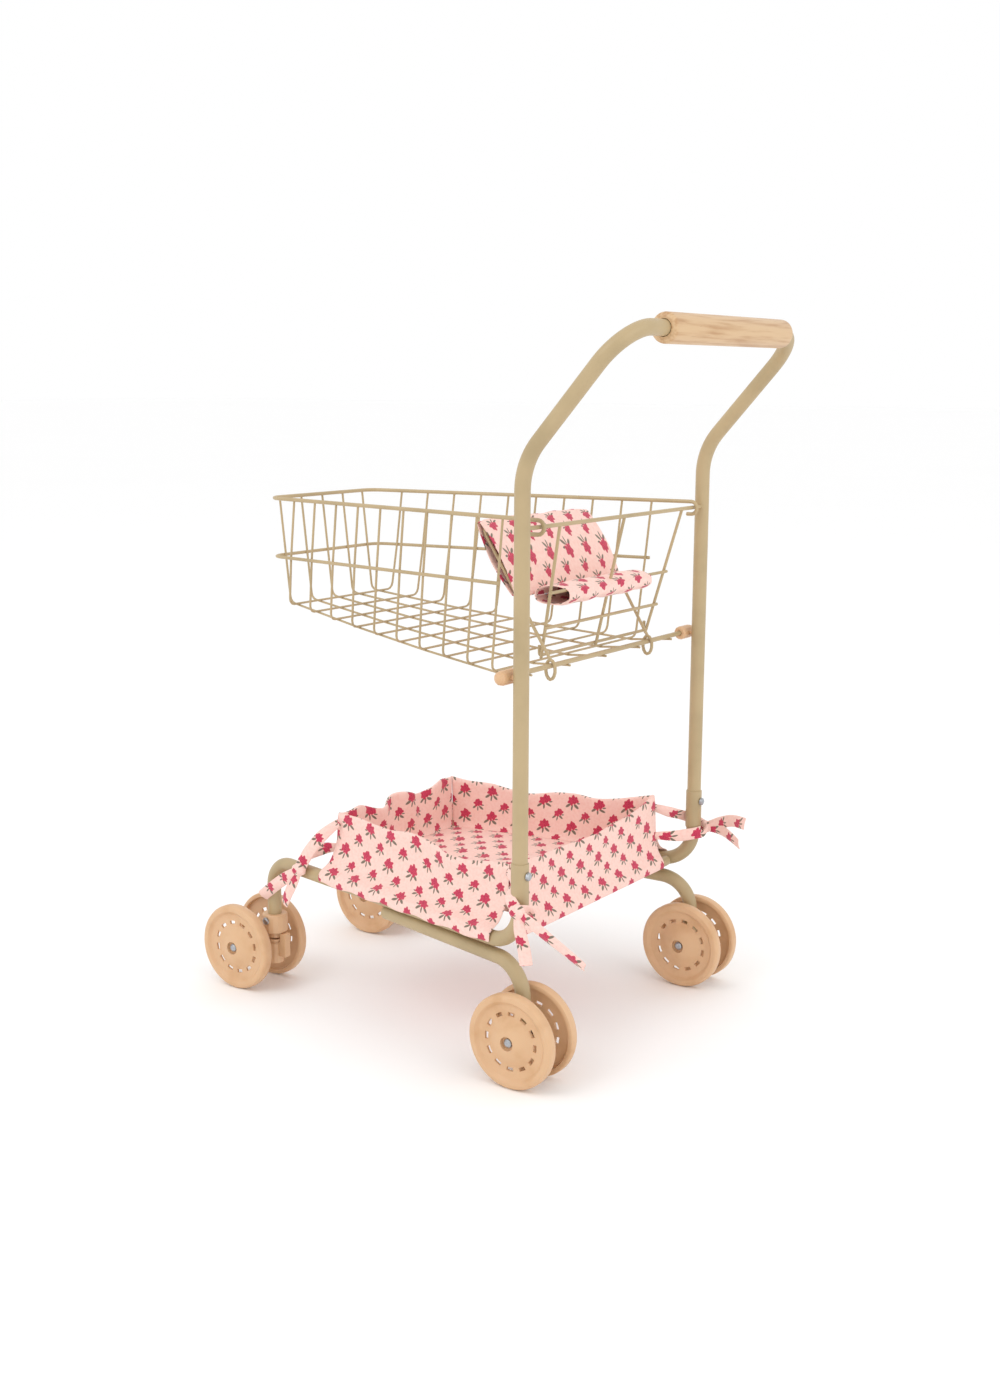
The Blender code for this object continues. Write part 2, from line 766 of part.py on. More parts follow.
def rim_wire():
    """Top wire: round the front and hooked round the top bar at both rear ends."""
    front_half = rim_half(RIM_FRONT_Y)
    rear = BAR_Y - 1.0 * MM
    hook_z = RIM_Z - HOOK_R
    right = [Vector((-rim_half(rear), rear, RIM_Z))]
    left = [Vector((rim_half(rear), rear, RIM_Z))]
    for path, side in ((right, -1.0), (left, 1.0)):
        x = side * rim_half(rear)
        for i in range(1, 9):
            angle = math.radians(22.5 * i)
            path.append(Vector((x, rear + HOOK_R * math.sin(angle), hook_z + HOOK_R * math.cos(angle))))
    right.append(right[-1] + Vector((0.0, -4.0 * MM, 0.0)))
    left.append(left[-1] + Vector((0.0, -9.0 * MM, 0.0)))
    middle = rounded(
        [
            right[0],
            (-front_half, RIM_FRONT_Y, RIM_Z),
            (front_half, RIM_FRONT_Y, RIM_Z),
            left[0],
        ],
        [RIM_CORNER_R, RIM_CORNER_R],
        22.5,
    )
    path = list(reversed(right[1:])) + middle + left[1:]
    return sweep(path, RIM_R, 8)


def front_y(z):
    """Place of the upright front wires at a height."""
    base = base_z(LONG_FRONT_Y)
    return LONG_FRONT_Y + (RIM_FRONT_Y - LONG_FRONT_Y) * (z - base) / (RIM_Z - base)


def belt_wire():
    """Middle wire round three sides, welded on the outside of the ribs."""
    out = BELT_R + RIB_R - WELD
    y = front_y(BELT_Z) - out
    end_y = RIB_TOP_Y + (RIB_COUNT - 1) * RIB_TOP_PITCH - 2.0 * MM
    front_half = rim_half(y) + out
    path = rounded(
        [
            (-rim_half(end_y) - out, end_y, BELT_Z),
            (-front_half, y, BELT_Z),
            (front_half, y, BELT_Z),
            (rim_half(end_y) + out, end_y, BELT_Z),
        ],
        [RIM_CORNER_R, RIM_CORNER_R],
        22.5,
    )
    return sweep(path, BELT_R, 8)


def rib_wire(i):
    """One U-shaped rib, hung from the rim, its floor a little further forward."""
    top_y = RIB_TOP_Y + i * RIB_TOP_PITCH
    base_y = RIB_BASE_Y + i * RIB_BASE_PITCH
    share = i / (RIB_COUNT - 1)
    base_half = RIB_BASE_HALF[0] + (RIB_BASE_HALF[1] - RIB_BASE_HALF[0]) * share
    top_half = rim_half(top_y)
    z = base_z(base_y)
    belt_share = (RIM_Z - BELT_Z) / (RIM_Z - z)
    belt_y = top_y + (base_y - top_y) * belt_share
    belt_half = rim_half(belt_y)
    path = rounded(
        [
            (-top_half, top_y, RIM_Z),
            (-belt_half, belt_y, BELT_Z),
            (-base_half, base_y, z),
            (base_half, base_y, z),
            (belt_half, belt_y, BELT_Z),
            (top_half, top_y, RIM_Z),
        ],
        [0.0, RIB_CORNER_R, RIB_CORNER_R, 0.0],
        30.0,
    )
    return sweep(path, RIB_R, 6)


def long_wire(k):
    """One wire down the front and along the floor, ending under the bottom rod."""
    drop = 2 * RIB_R - WELD
    corner_x = long_x(k, LONG_FRONT_Y)
    path = [Vector((corner_x, RIM_FRONT_Y, RIM_Z))]
    path.append(Vector((corner_x, LONG_FRONT_Y, base_z(LONG_FRONT_Y) - drop)))
    for i in range(0, RIB_COUNT, 3):
        y = RIB_BASE_Y + i * RIB_BASE_PITCH
        path.append(Vector((long_x(k, y), y, base_z(y) - drop)))
    path.append(Vector((long_x(k, ROD_Y), ROD_Y, ROD_Z - ROD_R - RIB_R + WELD)))
    end_y = ROD_Y + 3.0 * MM
    path.append(Vector((long_x(k, end_y), end_y, ROD_Z - ROD_R - RIB_R + WELD)))
    return sweep(rounded(path, [RIB_CORNER_R, 0, 0, 0, 0, 0], 30.0), RIB_R, 6)


def wire_basket(finish):
    """The welded basket: rim, belt, ribs, lengthwise wires and the bottom rod."""
    rod = sweep([(-ROD_HALF, ROD_Y, ROD_Z), (ROD_HALF, ROD_Y, ROD_Z)], ROD_R, 8, spin_deg=7.0)
    wires = [rib_wire(i) for i in range(RIB_COUNT)]
    wires += [long_wire(k - LONG_COUNT // 2) for k in range(LONG_COUNT)]
    wires += [belt_wire(), rod]
    return new_object("wire_basket", combined(rim_wire(), wires, "UNION"), finish)


def rod_cap(name, side, finish):
    """Moulded cap on the end of the bottom rod, with a stud into the upright."""
    inner, outer = CAP_X
    profile = [(0.0, ROD_HALF + GAP), (ROD_R + GAP, ROD_HALF + GAP), (ROD_R + GAP, inner)]
    profile += [(CAP_R - 1.2 * MM, inner), (CAP_R, inner + 1.5 * MM)]
    for i in range(4):
        angle = math.radians(25.0 * i)
        profile.append((CAP_R * math.cos(angle), outer - CAP_R + CAP_R * math.sin(angle)))
    profile.append((0.0, outer))
    body = turned(profile, 12, "X", closed=False)
    if side < 0:
        body.transform(Matrix.Rotation(math.pi, 4, "Z"))
    body = moved(body, (0.0, ROD_Y, ROD_Z))
    stud_x = side * REAR_TRACK_X
    stud_y = ROD_Y + ROD_R + 1.5 * MM
    stud = rod_between((stud_x, stud_y, ROD_Z), (stud_x, UPRIGHT_Y, ROD_Z), STUD_R, 8)
    return new_object(name, combined(body, [stud], "UNION"), finish)


def gate_point(across, share):
    """Point on the gate: across from -1 to 1, and a share of the way down."""
    top = Vector((GATE_TOP_X + across * GATE_TOP_HALF, BAR_Y, BAR_Z))
    base = Vector((GATE_BASE_X + across * GATE_BASE_HALF, GATE_BASE_Y, GATE_BASE_Z))
    return top + (base - top) * share


def rear_gate(finish):
    """Top bar with the wire gate hanging from it inside the basket."""
    bar = sweep([(-BAR_HALF, BAR_Y, BAR_Z), (BAR_HALF, BAR_Y, BAR_Z)], BAR_R, 8)
    parts = []
    behind = Vector((0.0, GATE_R * 1.4, 0.0))
    for across in (-1.0, 0.0, 1.0):
        parts.append(sweep([gate_point(across, -0.01), gate_point(across, 0.975)], GATE_R, 8))
    for share in (GATE_SEAT_SHARE, GATE_MID_SHARE):
        a = gate_point(-1.0, share) + behind
        b = gate_point(1.0, share) + behind
        parts.append(rod_between(a, b, GATE_R, 8, 2.0 * MM))
    a = gate_point(-1.0, 0.955) - behind
    b = gate_point(1.0, 0.955) - behind
    lift = Vector((0.0, 0.0, STUB_LEN))
    parts.append(sweep(rounded([a + lift, a, b, b + lift], [2.5 * MM, 2.5 * MM], 30.0), GATE_R, 8))
    return new_object("rear_gate", combined(bar, parts, "UNION"), finish)


# ---------------------------------------------------------------- doll seat


def seat_point(share):
    """(y, z) on the seat back's leg, from its eye at 0 to the top wire at 1."""
    foot_z = ROD_Z + LOOP_UP
    return ROD_Y + (SEAT_TOP_Y - ROD_Y) * share, foot_z + (SEAT_TOP_Z - foot_z) * share


def leg_point(side, share):
    """Point on the axis of one leg of the seat back."""
    y, z = seat_point(share)
    return Vector((SEAT_X + side * (SEAT_HALF_BASE + (SEAT_HALF_TOP - SEAT_HALF_BASE) * share), y, z))


def seat_back_frame(finish):
    """Upturned U of wire with an eye round the bottom rod at the foot of each leg."""
    corners = [leg_point(-1.0, 0.0), leg_point(-1.0, 1.0), leg_point(1.0, 1.0), leg_point(1.0, 0.0)]
    frame = sweep(rounded(corners, [SEAT_CORNER_R, SEAT_CORNER_R]), SEAT_R, 8)
    eyes = []
    half_z = (LOOP_UP + LOOP_DOWN) / 2
    for side in (-1.0, 1.0):
        middle = Vector((SEAT_X + side * SEAT_HALF_BASE, ROD_Y, ROD_Z + LOOP_UP - half_z))
        ring = []
        for i in range(14):
            angle = 2 * math.pi * i / 14
            ring.append(middle + Vector((0.0, LOOP_HALF_Y * math.sin(angle), half_z * math.cos(angle))))
        eyes.append(sweep(ring, SEAT_R, 6, closed=True))
    mesh = combined(frame, eyes, "UNION")
    return pinned("seat_back_frame", mesh, finish, (0.0, ROD_Y, ROD_Z))


def sleeve_outline(a, b, thick, wall):
    """A closed (y, z) band round the line a-b: outer outline and the hole inside it."""
    a = Vector(a)
    b = Vector(b)
    along = (b - a).normalized()
    across = Vector((-along.y, along.x))
    outer = []
    inner = []
    for centre, start in ((b, 90.0), (a, 270.0)):
        for i in range(7):
            angle = math.radians(start - 30.0 * i)
            out = along * math.cos(angle) + across * math.sin(angle)
            outer.append(centre + out * thick)
            inner.append(centre + out * (thick - wall))
    return outer, inner


def sleeve(a, b, thick, middle, half):
    """A cloth tube round the line a-b, open at both sides."""
    outer, inner = sleeve_outline(a, b, thick, COVER_WALL)
    count = len(outer)
    points = []
    for x in (middle - half, middle + half):
        points += [(x, p.x, p.y) for p in outer]
        points += [(x, p.x, p.y) for p in inner]
    faces = []
    for j in range(count):
        k = (j + 1) % count
        faces.append((j, k, 2 * count + k, 2 * count + j))
        faces.append((count + j, count + k, 3 * count + k, 3 * count + j))
        faces.append((j, k, count + k, count + j))
        faces.append((2 * count + j, 2 * count + k, 3 * count + k, 3 * count + j))
    return mesh_from(points, faces)


def seat_back_cover(finish):
    """Cloth sleeve over the seat back, slit at the bottom for the two legs."""
    thick = SEAT_R + 2 * GAP + COVER_WALL + 1.0 * MM
    mesh = sleeve(seat_point(0.47), seat_point(1.0), thick, SEAT_X, COVER_HALF)
    slits = [
        rod_between(leg_point(side, 0.3), leg_point(side, 0.6), SEAT_R + 2 * GAP, 8)
        for side in (-1.0, 1.0)
    ]
    mesh = combined(mesh, slits, "DIFFERENCE")
    return pinned("seat_back_cover", mesh, finish, (0.0, ROD_Y, ROD_Z))


def seat_cover(finish):
    """Cloth seat looped round the gate's seat bar and reaching to the seat back."""
    bar = gate_point(0.0, GATE_SEAT_SHARE)
    back = seat_point(0.48)
    rear = (bar.y - 1.0 * MM, bar.z - 4.0 * MM)
    front = (back[0] + CUSHION_THICK + 6.5 * MM, back[1] - 2.0 * MM)
    mesh = sleeve(front, rear, CUSHION_THICK, -1.0 * MM, CUSHION_HALF)
    slits = [
        rod_between(gate_point(0.0, 0.0), gate_point(0.0, 1.0), GATE_R + GAP, 8),
    ]
    return new_object("seat_cover", combined(mesh, slits, "DIFFERENCE"), finish)


# ---------------------------------------------------------------- cloth tray


def tray_half(y):
    """Half width of the tray's outside."""
    return side_x(y) - TRAY_SIDE_GAP


def tapered(front, rear, half, low, front_top, rear_top):
    """A box between two places along the cart, as wide at each as half() says there."""
    points = []
    for y, top in ((front, front_top), (rear, rear_top)):
        for x in (-half(y), half(y)):
            points += [(x, y, low), (x, y, top)]
    faces = [(0, 1, 3, 2), (4, 6, 7, 5), (0, 4, 5, 1), (2, 3, 7, 6), (0, 2, 6, 4), (1, 5, 7, 3)]
    return mesh_from(points, faces)


def tray_box():
    """The four walls and floor of the tray."""
    top = (TRAY_FRONT_TOP_Z, TRAY_REAR_TOP_Z)
    shell = tapered(TRAY_FRONT_Y, TRAY_REAR_Y, tray_half, TRAY_FLOOR_Z, *top)
    inside = tapered(
        TRAY_FRONT_Y + CLOTH,
        TRAY_REAR_Y - CLOTH,
        lambda y: tray_half(y) - CLOTH,
        TRAY_FLOOR_Z + CLOTH,
        top[0] + CLOTH,
        top[1] + CLOTH,
    )
    return combined(shell, [inside], "DIFFERENCE")


def hem_half(y):
    """Half width of the hem's outside, over the side tubes."""
    return side_x(y) + HEM_OUT


def tray_hem():
    """Flap round the tray, folded over the side tubes and the cross tubes."""
    front = CROSS_FRONT_Y - CROSS_R - GAP - CLOTH
    rear = CROSS_REAR_Y + CROSS_R + GAP + CLOTH
    top = HEM_TOP_Z + CLOTH
    over = top + CLOTH
    flap = tapered(front, rear, hem_half, HEM_LOW_Z, top, top)
    cuts = [
        tapered(
            front + CLOTH,
            rear - CLOTH,
            lambda y: hem_half(y) - CLOTH,
            HEM_LOW_Z - CLOTH,
            HEM_TOP_Z,
            HEM_TOP_Z,
        ),
        tapered(
            TRAY_FRONT_Y + CLOTH / 2,
            TRAY_REAR_Y - CLOTH / 2,
            lambda y: tray_half(y) - CLOTH / 2,
            HEM_TOP_Z - CLOTH,
            over,
            over,
        ),
    ]
    ends = (
        (front - CLOTH, CROSS_FRONT_Y - CROSS_R / 2),
        (CROSS_REAR_Y - CROSS_R, rear + CLOTH),
    )
    for side in (-1.0, 1.0):
        for near, far in ends:
            x = sorted((side * (tray_half(near) + GAP), side * (hem_half(far) + CLOTH)))
            cuts.append(slab((x[0], near, HEM_LOW_Z - CLOTH), (x[1], far, over)))
    return combined(flap, cuts, "DIFFERENCE")


def cloth_tray(finish):
    """Open cloth box between the side tubes, with a hem folded over the tubes."""
    return new_object("cloth_tray", combined(tray_box(), [tray_hem()], "UNION"), finish)


def tie(name, knot, tails, finish):
    """A knotted cloth tape: a small knot with flat tails that hang from it."""
    centre = Vector(knot)
    size = Vector(KNOT_HALF)
    body = slab(centre - size, centre + size)
    strips = []
    for tail in tails:
        end = centre + Vector(tail)
        along = (end - centre).normalized()
        width = along.cross(Vector((1.0, 0.0, 0.0))).normalized() * TAPE_HALF
        flat = Vector((TIE_T / 2, 0.0, 0.0))
        points = []
        for point, share in ((centre + along * 2.0 * MM, 0.7), (end, 1.2)):
            for a, b in ((-1, -1), (1, -1), (1, 1), (-1, 1)):
                points.append(point + width * a * share + flat * b)
        faces = [(0, 1, 2, 3), (4, 5, 6, 7), (0, 1, 5, 4), (1, 2, 6, 5), (2, 3, 7, 6), (3, 0, 4, 7)]
        strips.append(mesh_from(points, faces))
    return new_object(name, combined(body, strips, "UNION"), finish)


# ---------------------------------------------------------------- assembly


SIDES = ((1.0, "left"), (-1.0, "right"))


def build_frame():
    """Tubes, grip, legs and their screws."""
    for side, tag in SIDES:
        side_frame(f"{tag}_side_frame", side, painted_steel(f"{tag}_side_paint"))
        handle_tube(f"{tag}_handle_tube", side, painted_steel(f"{tag}_handle_paint"))
        rear_leg(f"{tag}_rear_leg", side, painted_steel(f"{tag}_leg_paint"))
        socket_screw(f"{tag}_socket_screw", side * REAR_TRACK_X, zinc_steel(f"{tag}_socket_zinc"))
    cross_tube("front_cross_tube", CROSS_FRONT_Y, painted_steel("front_cross_paint"))
    cross_tube("rear_cross_tube", CROSS_REAR_Y, painted_steel("rear_cross_paint"))
    grip(beech("grip_wood"))


def wheel_pair(place, side, x, y, gauge):
    """One axle with its two wheels and their screws."""
    axle(f"{place}_axle", x, y, gauge + HUB_FLOOR - GAP, zinc_steel(f"{place}_axle_zinc"))
    for outward, rank in ((side, "outer"), (-side, "inner")):
        hub_x = x + outward * gauge
        plastic = peach_plastic(f"{place}_{rank}_plastic")
        zinc = zinc_steel(f"{place}_{rank}_zinc")
        wheel(f"{place}_{rank}_wheel", hub_x, outward, y, plastic)
        wheel_screw(f"{place}_{rank}_screw", hub_x, outward, y, zinc)


def build_wheels():
    """Twin wheels on every leg and caster."""
    for side, tag in SIDES:
        x = side * FRONT_TRACK_X
        caster_collar(f"{tag}_caster_collar", x, peach_plastic(f"{tag}_collar_plastic"))
        collar_screw(f"{tag}_collar_screw", x, zinc_steel(f"{tag}_collar_zinc"))
        caster_body(f"{tag}_caster_body", x, peach_plastic(f"{tag}_caster_plastic"))
        wheel_pair(f"{tag}_front", side, x, STEM_Y - CASTER_TRAIL, FRONT_HALF_GAUGE)
        leg_x = side * (REAR_TRACK_X - LEG_INSET)
        wheel_pair(f"{tag}_rear", side, leg_x, REAR_AXLE_Y, REAR_HALF_GAUGE)


def build_basket():
    """Basket, its rod caps, the gate and the doll seat."""
    wire_basket(painted_steel("basket_paint"))
    rod_cap("left_rod_cap", 1.0, peach_plastic("left_cap_plastic"))
    rod_cap("right_rod_cap", -1.0, peach_plastic("right_cap_plastic"))
    rear_gate(painted_steel("gate_paint"))
    seat_back_frame(painted_steel("seat_frame_paint"))
    seat_back_cover(print_cloth("seat_back_cotton"))
    seat_cover(print_cloth("seat_cotton"))


def build_tray():
    """Cloth tray and its four ties."""
    cloth_tray(print_cloth("tray_cotton"))
    out = TUBE_R + 6.0 * MM
    front_tails = [(-8.0 * MM, -50.0 * MM, -32.0 * MM), (-3.0 * MM, -20.0 * MM, -34.0 * MM)]
    rear_tails = {
        "left": [(1.0 * MM, 6.0 * MM, -38.0 * MM), (2.0 * MM, 56.0 * MM, -30.0 * MM)],
        "right": [(-4.0 * MM, 46.0 * MM, 12.0 * MM), (-2.0 * MM, 42.0 * MM, -6.0 * MM)],
    }
    for side, tag in SIDES:
        rear_knot = (side * (REAR_TRACK_X + SOCKET_R + 4.2 * MM), REAR_TIE_Y, 138.0 * MM)
        front_knot = (side * (side_x(FRONT_TIE_Y) + out), FRONT_TIE_Y, 117.0 * MM)
        rear = [(side * x, y, z) for x, y, z in rear_tails[tag]]
        front = [(side * x, y, z) for x, y, z in front_tails]
        tie(f"{tag}_rear_tie", rear_knot, rear, print_cloth(f"{tag}_rear_tie_cotton"))
        tie(f"{tag}_front_tie", front_knot, front, print_cloth(f"{tag}_front_tie_cotton"))


def clear_scene():
    """Removes every object of the startup scene."""
    for item in list(bpy.data.objects):
        bpy.data.objects.remove(item, do_unlink=True)


def main():
    """Builds the cart."""
    clear_scene()
    build_frame()
    build_wheels()
    build_basket()
    build_tray()


main()
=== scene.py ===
"""Looks of a child's shopping cart: tube frame, twin wheels, wire basket, doll seat and cloth tray."""

from __future__ import annotations

import logging
import math
from dataclasses import dataclass, field
from enum import Enum
from typing import Callable, Iterable, Sequence

import bmesh
import bpy
from mathutils import Matrix, Vector

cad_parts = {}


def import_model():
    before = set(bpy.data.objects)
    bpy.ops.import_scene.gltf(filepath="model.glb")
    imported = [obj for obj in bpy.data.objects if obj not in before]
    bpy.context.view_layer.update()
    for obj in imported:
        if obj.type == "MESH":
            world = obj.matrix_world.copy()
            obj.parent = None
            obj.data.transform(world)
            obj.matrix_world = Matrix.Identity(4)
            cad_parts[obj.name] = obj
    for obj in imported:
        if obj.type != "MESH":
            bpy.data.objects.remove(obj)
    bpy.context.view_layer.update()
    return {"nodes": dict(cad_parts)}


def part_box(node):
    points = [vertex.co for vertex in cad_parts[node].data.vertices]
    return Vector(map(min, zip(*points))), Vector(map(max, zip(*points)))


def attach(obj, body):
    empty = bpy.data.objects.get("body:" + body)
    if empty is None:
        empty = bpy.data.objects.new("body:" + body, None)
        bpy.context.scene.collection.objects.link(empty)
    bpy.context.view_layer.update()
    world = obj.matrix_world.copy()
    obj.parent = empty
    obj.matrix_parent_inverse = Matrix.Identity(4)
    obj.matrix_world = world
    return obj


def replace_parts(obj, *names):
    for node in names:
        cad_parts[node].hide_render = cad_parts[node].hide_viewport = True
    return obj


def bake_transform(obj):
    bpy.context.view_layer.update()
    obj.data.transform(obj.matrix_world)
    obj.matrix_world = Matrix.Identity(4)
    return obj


LOG = logging.getLogger("cart")
MM = 0.001


class Side(Enum):
    """The two sides of the cart, by the sign of X."""

    LEFT = 1
    RIGHT = -1

    @property
    def tag(self) -> str:
        """The side's name in piece names."""
        return self.name.lower()


class Hold(Enum):
    """How a cloth piece is held."""

    HUNG = "hung"
    FOLDED = "folded"


def srgb(code: str) -> tuple[float, float, float, float]:
    """Turns a colour code into linear colour.

    Args:
        code: six hexadecimal digits, as in a paint chart.

    Returns:
        Linear red, green, blue and an alpha of one.
    """
    channels = [int(code[i : i + 2], 16) / 255 for i in (0, 2, 4)]
    linear = [c / 12.92 if c <= 0.04045 else ((c + 0.055) / 1.055) ** 2.4 for c in channels]
    return (linear[0], linear[1], linear[2], 1.0)


# ---------------------------------------------------------------- node trees


def add_node(
    tree: bpy.types.NodeTree, kind: str, inputs: dict | None = None, **settings: object
) -> bpy.types.Node:
    """Adds one node, sets its properties and fills or links its inputs.

    Args:
        tree: the tree the node goes in.
        kind: the node's type name.
        inputs: values or sockets by input name or number.
        **settings: properties of the node.

    Returns:
        The new node.
    """
    node = tree.nodes.new(kind)
    for name, value in settings.items():
        setattr(node, name, value)
    for key, value in (inputs or {}).items():
        if isinstance(value, bpy.types.NodeSocket):
            tree.links.new(value, node.inputs[key])
        else:
            node.inputs[key].default_value = value
    return node


@dataclass
class Field:
    """A number that varies over a surface, carried by a node socket."""

    tree: bpy.types.NodeTree
    socket: bpy.types.NodeSocket

    def _math(self, operation: str, *others: object) -> "Field":
        """Joins this field with others through one Math node."""
        node = add_node(self.tree, "ShaderNodeMath", {0: self.socket}, operation=operation)
        for place, other in enumerate(others, start=1):
            if isinstance(other, Field):
                self.tree.links.new(other.socket, node.inputs[place])
            else:
                node.inputs[place].default_value = other
        return Field(self.tree, node.outputs[0])

    def __add__(self, other: object) -> "Field":
        """Sum."""
        return self._math("ADD", other)

    def __sub__(self, other: object) -> "Field":
        """Difference."""
        return self._math("SUBTRACT", other)

    def __mul__(self, other: object) -> "Field":
        """Product."""
        return self._math("MULTIPLY", other)

    def sine(self) -> "Field":
        """Sine."""
        return self._math("SINE")

    def floor(self) -> "Field":
        """Whole part."""
        return self._math("FLOOR")

    def root(self) -> "Field":
        """Square root."""
        return self._math("SQRT")

    def angle(self, other: "Field") -> "Field":
        """Angle of the point (other, self)."""
        return self._math("ARCTAN2", other)

    def most(self, other: "Field") -> "Field":
        """Larger of two fields."""
        return self._math("MAXIMUM", other)

    def ramp(self, low: float, high: float) -> "Field":
        """Zero at low and one at high, smooth between."""
        inputs = {"Value": self.socket, "From Min": low, "From Max": high}
        node = add_node(self.tree, "ShaderNodeMapRange", inputs, interpolation_type="SMOOTHSTEP")
        return Field(self.tree, node.outputs[0])


def mixed(tree: bpy.types.NodeTree, share: Field, a: object, b: object) -> bpy.types.NodeSocket:
    """Colour a where share is zero and b where it is one.

    Args:
        tree: the tree the node goes in.
        share: the mask.
        a: first colour or socket.
        b: second colour or socket.

    Returns:
        The colour socket.
    """
    node = add_node(tree, "ShaderNodeMix", {0: share.socket}, data_type="RGBA")
    for place, value in ((6, a), (7, b)):
        if isinstance(value, bpy.types.NodeSocket):
            tree.links.new(value, node.inputs[place])
        else:
            node.inputs[place].default_value = value
    return node.outputs[2]


def noise(
    tree: bpy.types.NodeTree, where: bpy.types.NodeSocket, size_mm: float, detail: float = 2.0
) -> Field:
    """Soft blotches of a size on a coordinate in metres.

    Args:
        tree: the tree the node goes in.
        where: the coordinate.
        size_mm: about how large the blotches are.
        detail: octaves of finer blotches.

    Returns:
        A field from zero to one.
    """
    inputs = {"Vector": where, "Scale": 1000.0 / size_mm, "Detail": detail}
    return Field(tree, add_node(tree, "ShaderNodeTexNoise", inputs).outputs[0])


@dataclass(frozen=True)
class Finish:
    """A surface finish that can paint any piece."""

    name: str
    colour: str
    slot: str
    roughness: float = 0.5

    def start(self) -> tuple[bpy.types.Material, bpy.types.NodeTree, bpy.types.Node]:
        """A new material with its tree and its shader."""
        made = bpy.data.materials.new(self.name)
        made.use_nodes = True
        shader = made.node_tree.nodes["Principled BSDF"]
        shader.inputs["Roughness"].default_value = self.roughness
        return made, made.node_tree, shader

    def build(self) -> bpy.types.Material:
        """The finish as a material."""
        raise NotImplementedError


def roughen(shader: bpy.types.Node, height: Field, depth_mm: float, strength: float) -> None:
    """Gives a shader a bump.

    Args:
        shader: the shader.
        height: the height field.
        depth_mm: depth of the bump at full height.
        strength: share of it that shows.
    """
    inputs = {"Height": height.socket, "Strength": strength, "Distance": depth_mm * MM}
    bump = add_node(height.tree, "ShaderNodeBump", inputs)
    height.tree.links.new(bump.outputs[0], shader.inputs["Normal"])


def object_place(tree: bpy.types.NodeTree) -> bpy.types.NodeSocket:
    """Place on the object, in metres."""
    return add_node(tree, "ShaderNodeTexCoord").outputs["Object"]


@dataclass(frozen=True)
class PowderCoat(Finish):
    """Satin powder coat on steel, with its fine orange peel and a faintly uneven tone."""

    shade: str = "A8946F"

    def build(self) -> bpy.types.Material:
        """Beige coat, a little darker in slow blotches and duller where hands rub it."""
        made, tree, shader = self.start()
        where = object_place(tree)
        slow = noise(tree, where, 38.0, 3.0)
        tone = mixed(tree, slow.ramp(0.35, 0.9), srgb(self.colour), srgb(self.shade))
        tree.links.new(tone, shader.inputs["Base Color"])
        worn = slow * 0.18 + (self.roughness - 0.08)
        tree.links.new(worn.socket, shader.inputs["Roughness"])
        # Orange peel of about a millimetre.
        roughen(shader, noise(tree, where, 1.1), 0.05, 0.35)
        return made


@dataclass(frozen=True)
class MouldedPlastic(Finish):
    """Satin moulded plastic with a soft spark-eroded grain."""

    deep: str = "C08F5E"

    def build(self) -> bpy.types.Material:
        """Peach plastic with slow flow marks and a fine grain."""
        made, tree, shader = self.start()
        where = object_place(tree)
        flow = noise(tree, where, 22.0, 4.0)
        tone = mixed(tree, flow.ramp(0.45, 1.0), srgb(self.colour), srgb(self.deep))
        tree.links.new(tone, shader.inputs["Base Color"])
        tree.links.new((flow * 0.14 + (self.roughness - 0.06)).socket, shader.inputs["Roughness"])
        shader.inputs["Subsurface Weight"].default_value = 0.06
        shader.inputs["Subsurface Radius"].default_value = (0.004, 0.002, 0.001)
        roughen(shader, noise(tree, where, 0.7), 0.03, 0.25)
        return made


@dataclass(frozen=True)
class ZincPlate(Finish):
    """Bright zinc plate with fine turning marks."""

    def build(self) -> bpy.types.Material:
        """Metal whose gloss varies in fine streaks."""
        made, tree, shader = self.start()
        shader.inputs["Metallic"].default_value = 1.0
        where = object_place(tree)
        streak = noise(tree, where, 1.6, 5.0)
        tone = mixed(tree, streak, srgb(self.colour), srgb("8F9398"))
        tree.links.new(tone, shader.inputs["Base Color"])
        tree.links.new((streak * 0.3 + (self.roughness - 0.1)).socket, shader.inputs["Roughness"])
        roughen(shader, streak, 0.04, 0.3)
        return made


@dataclass(frozen=True)
class LacqueredWood(Finish):
    """Pale lacquered wood with its grain along X."""

    grain: str = "B98E62"

    def build(self) -> bpy.types.Material:
        """Long faint grain lines with short dark pores."""
        made, tree, shader = self.start()
        where = object_place(tree)
        drawn = add_node(tree, "ShaderNodeMapping", {"Vector": where, "Scale": (0.06, 1.0, 1.0)}).outputs[0]
        lines = noise(tree, drawn, 3.2, 6.0)
        pores = noise(tree, drawn, 0.7, 2.0)
        tone = mixed(tree, lines.ramp(0.42, 0.72), srgb(self.colour), srgb(self.grain))
        tone = mixed(tree, pores.ramp(0.66, 0.8) * 0.5, tone, srgb("8E6A45"))
        tree.links.new(tone, shader.inputs["Base Color"])
        shader.inputs["Coat Weight"].default_value = 0.12
        roughen(shader, lines, 0.08, 0.3)
        return made


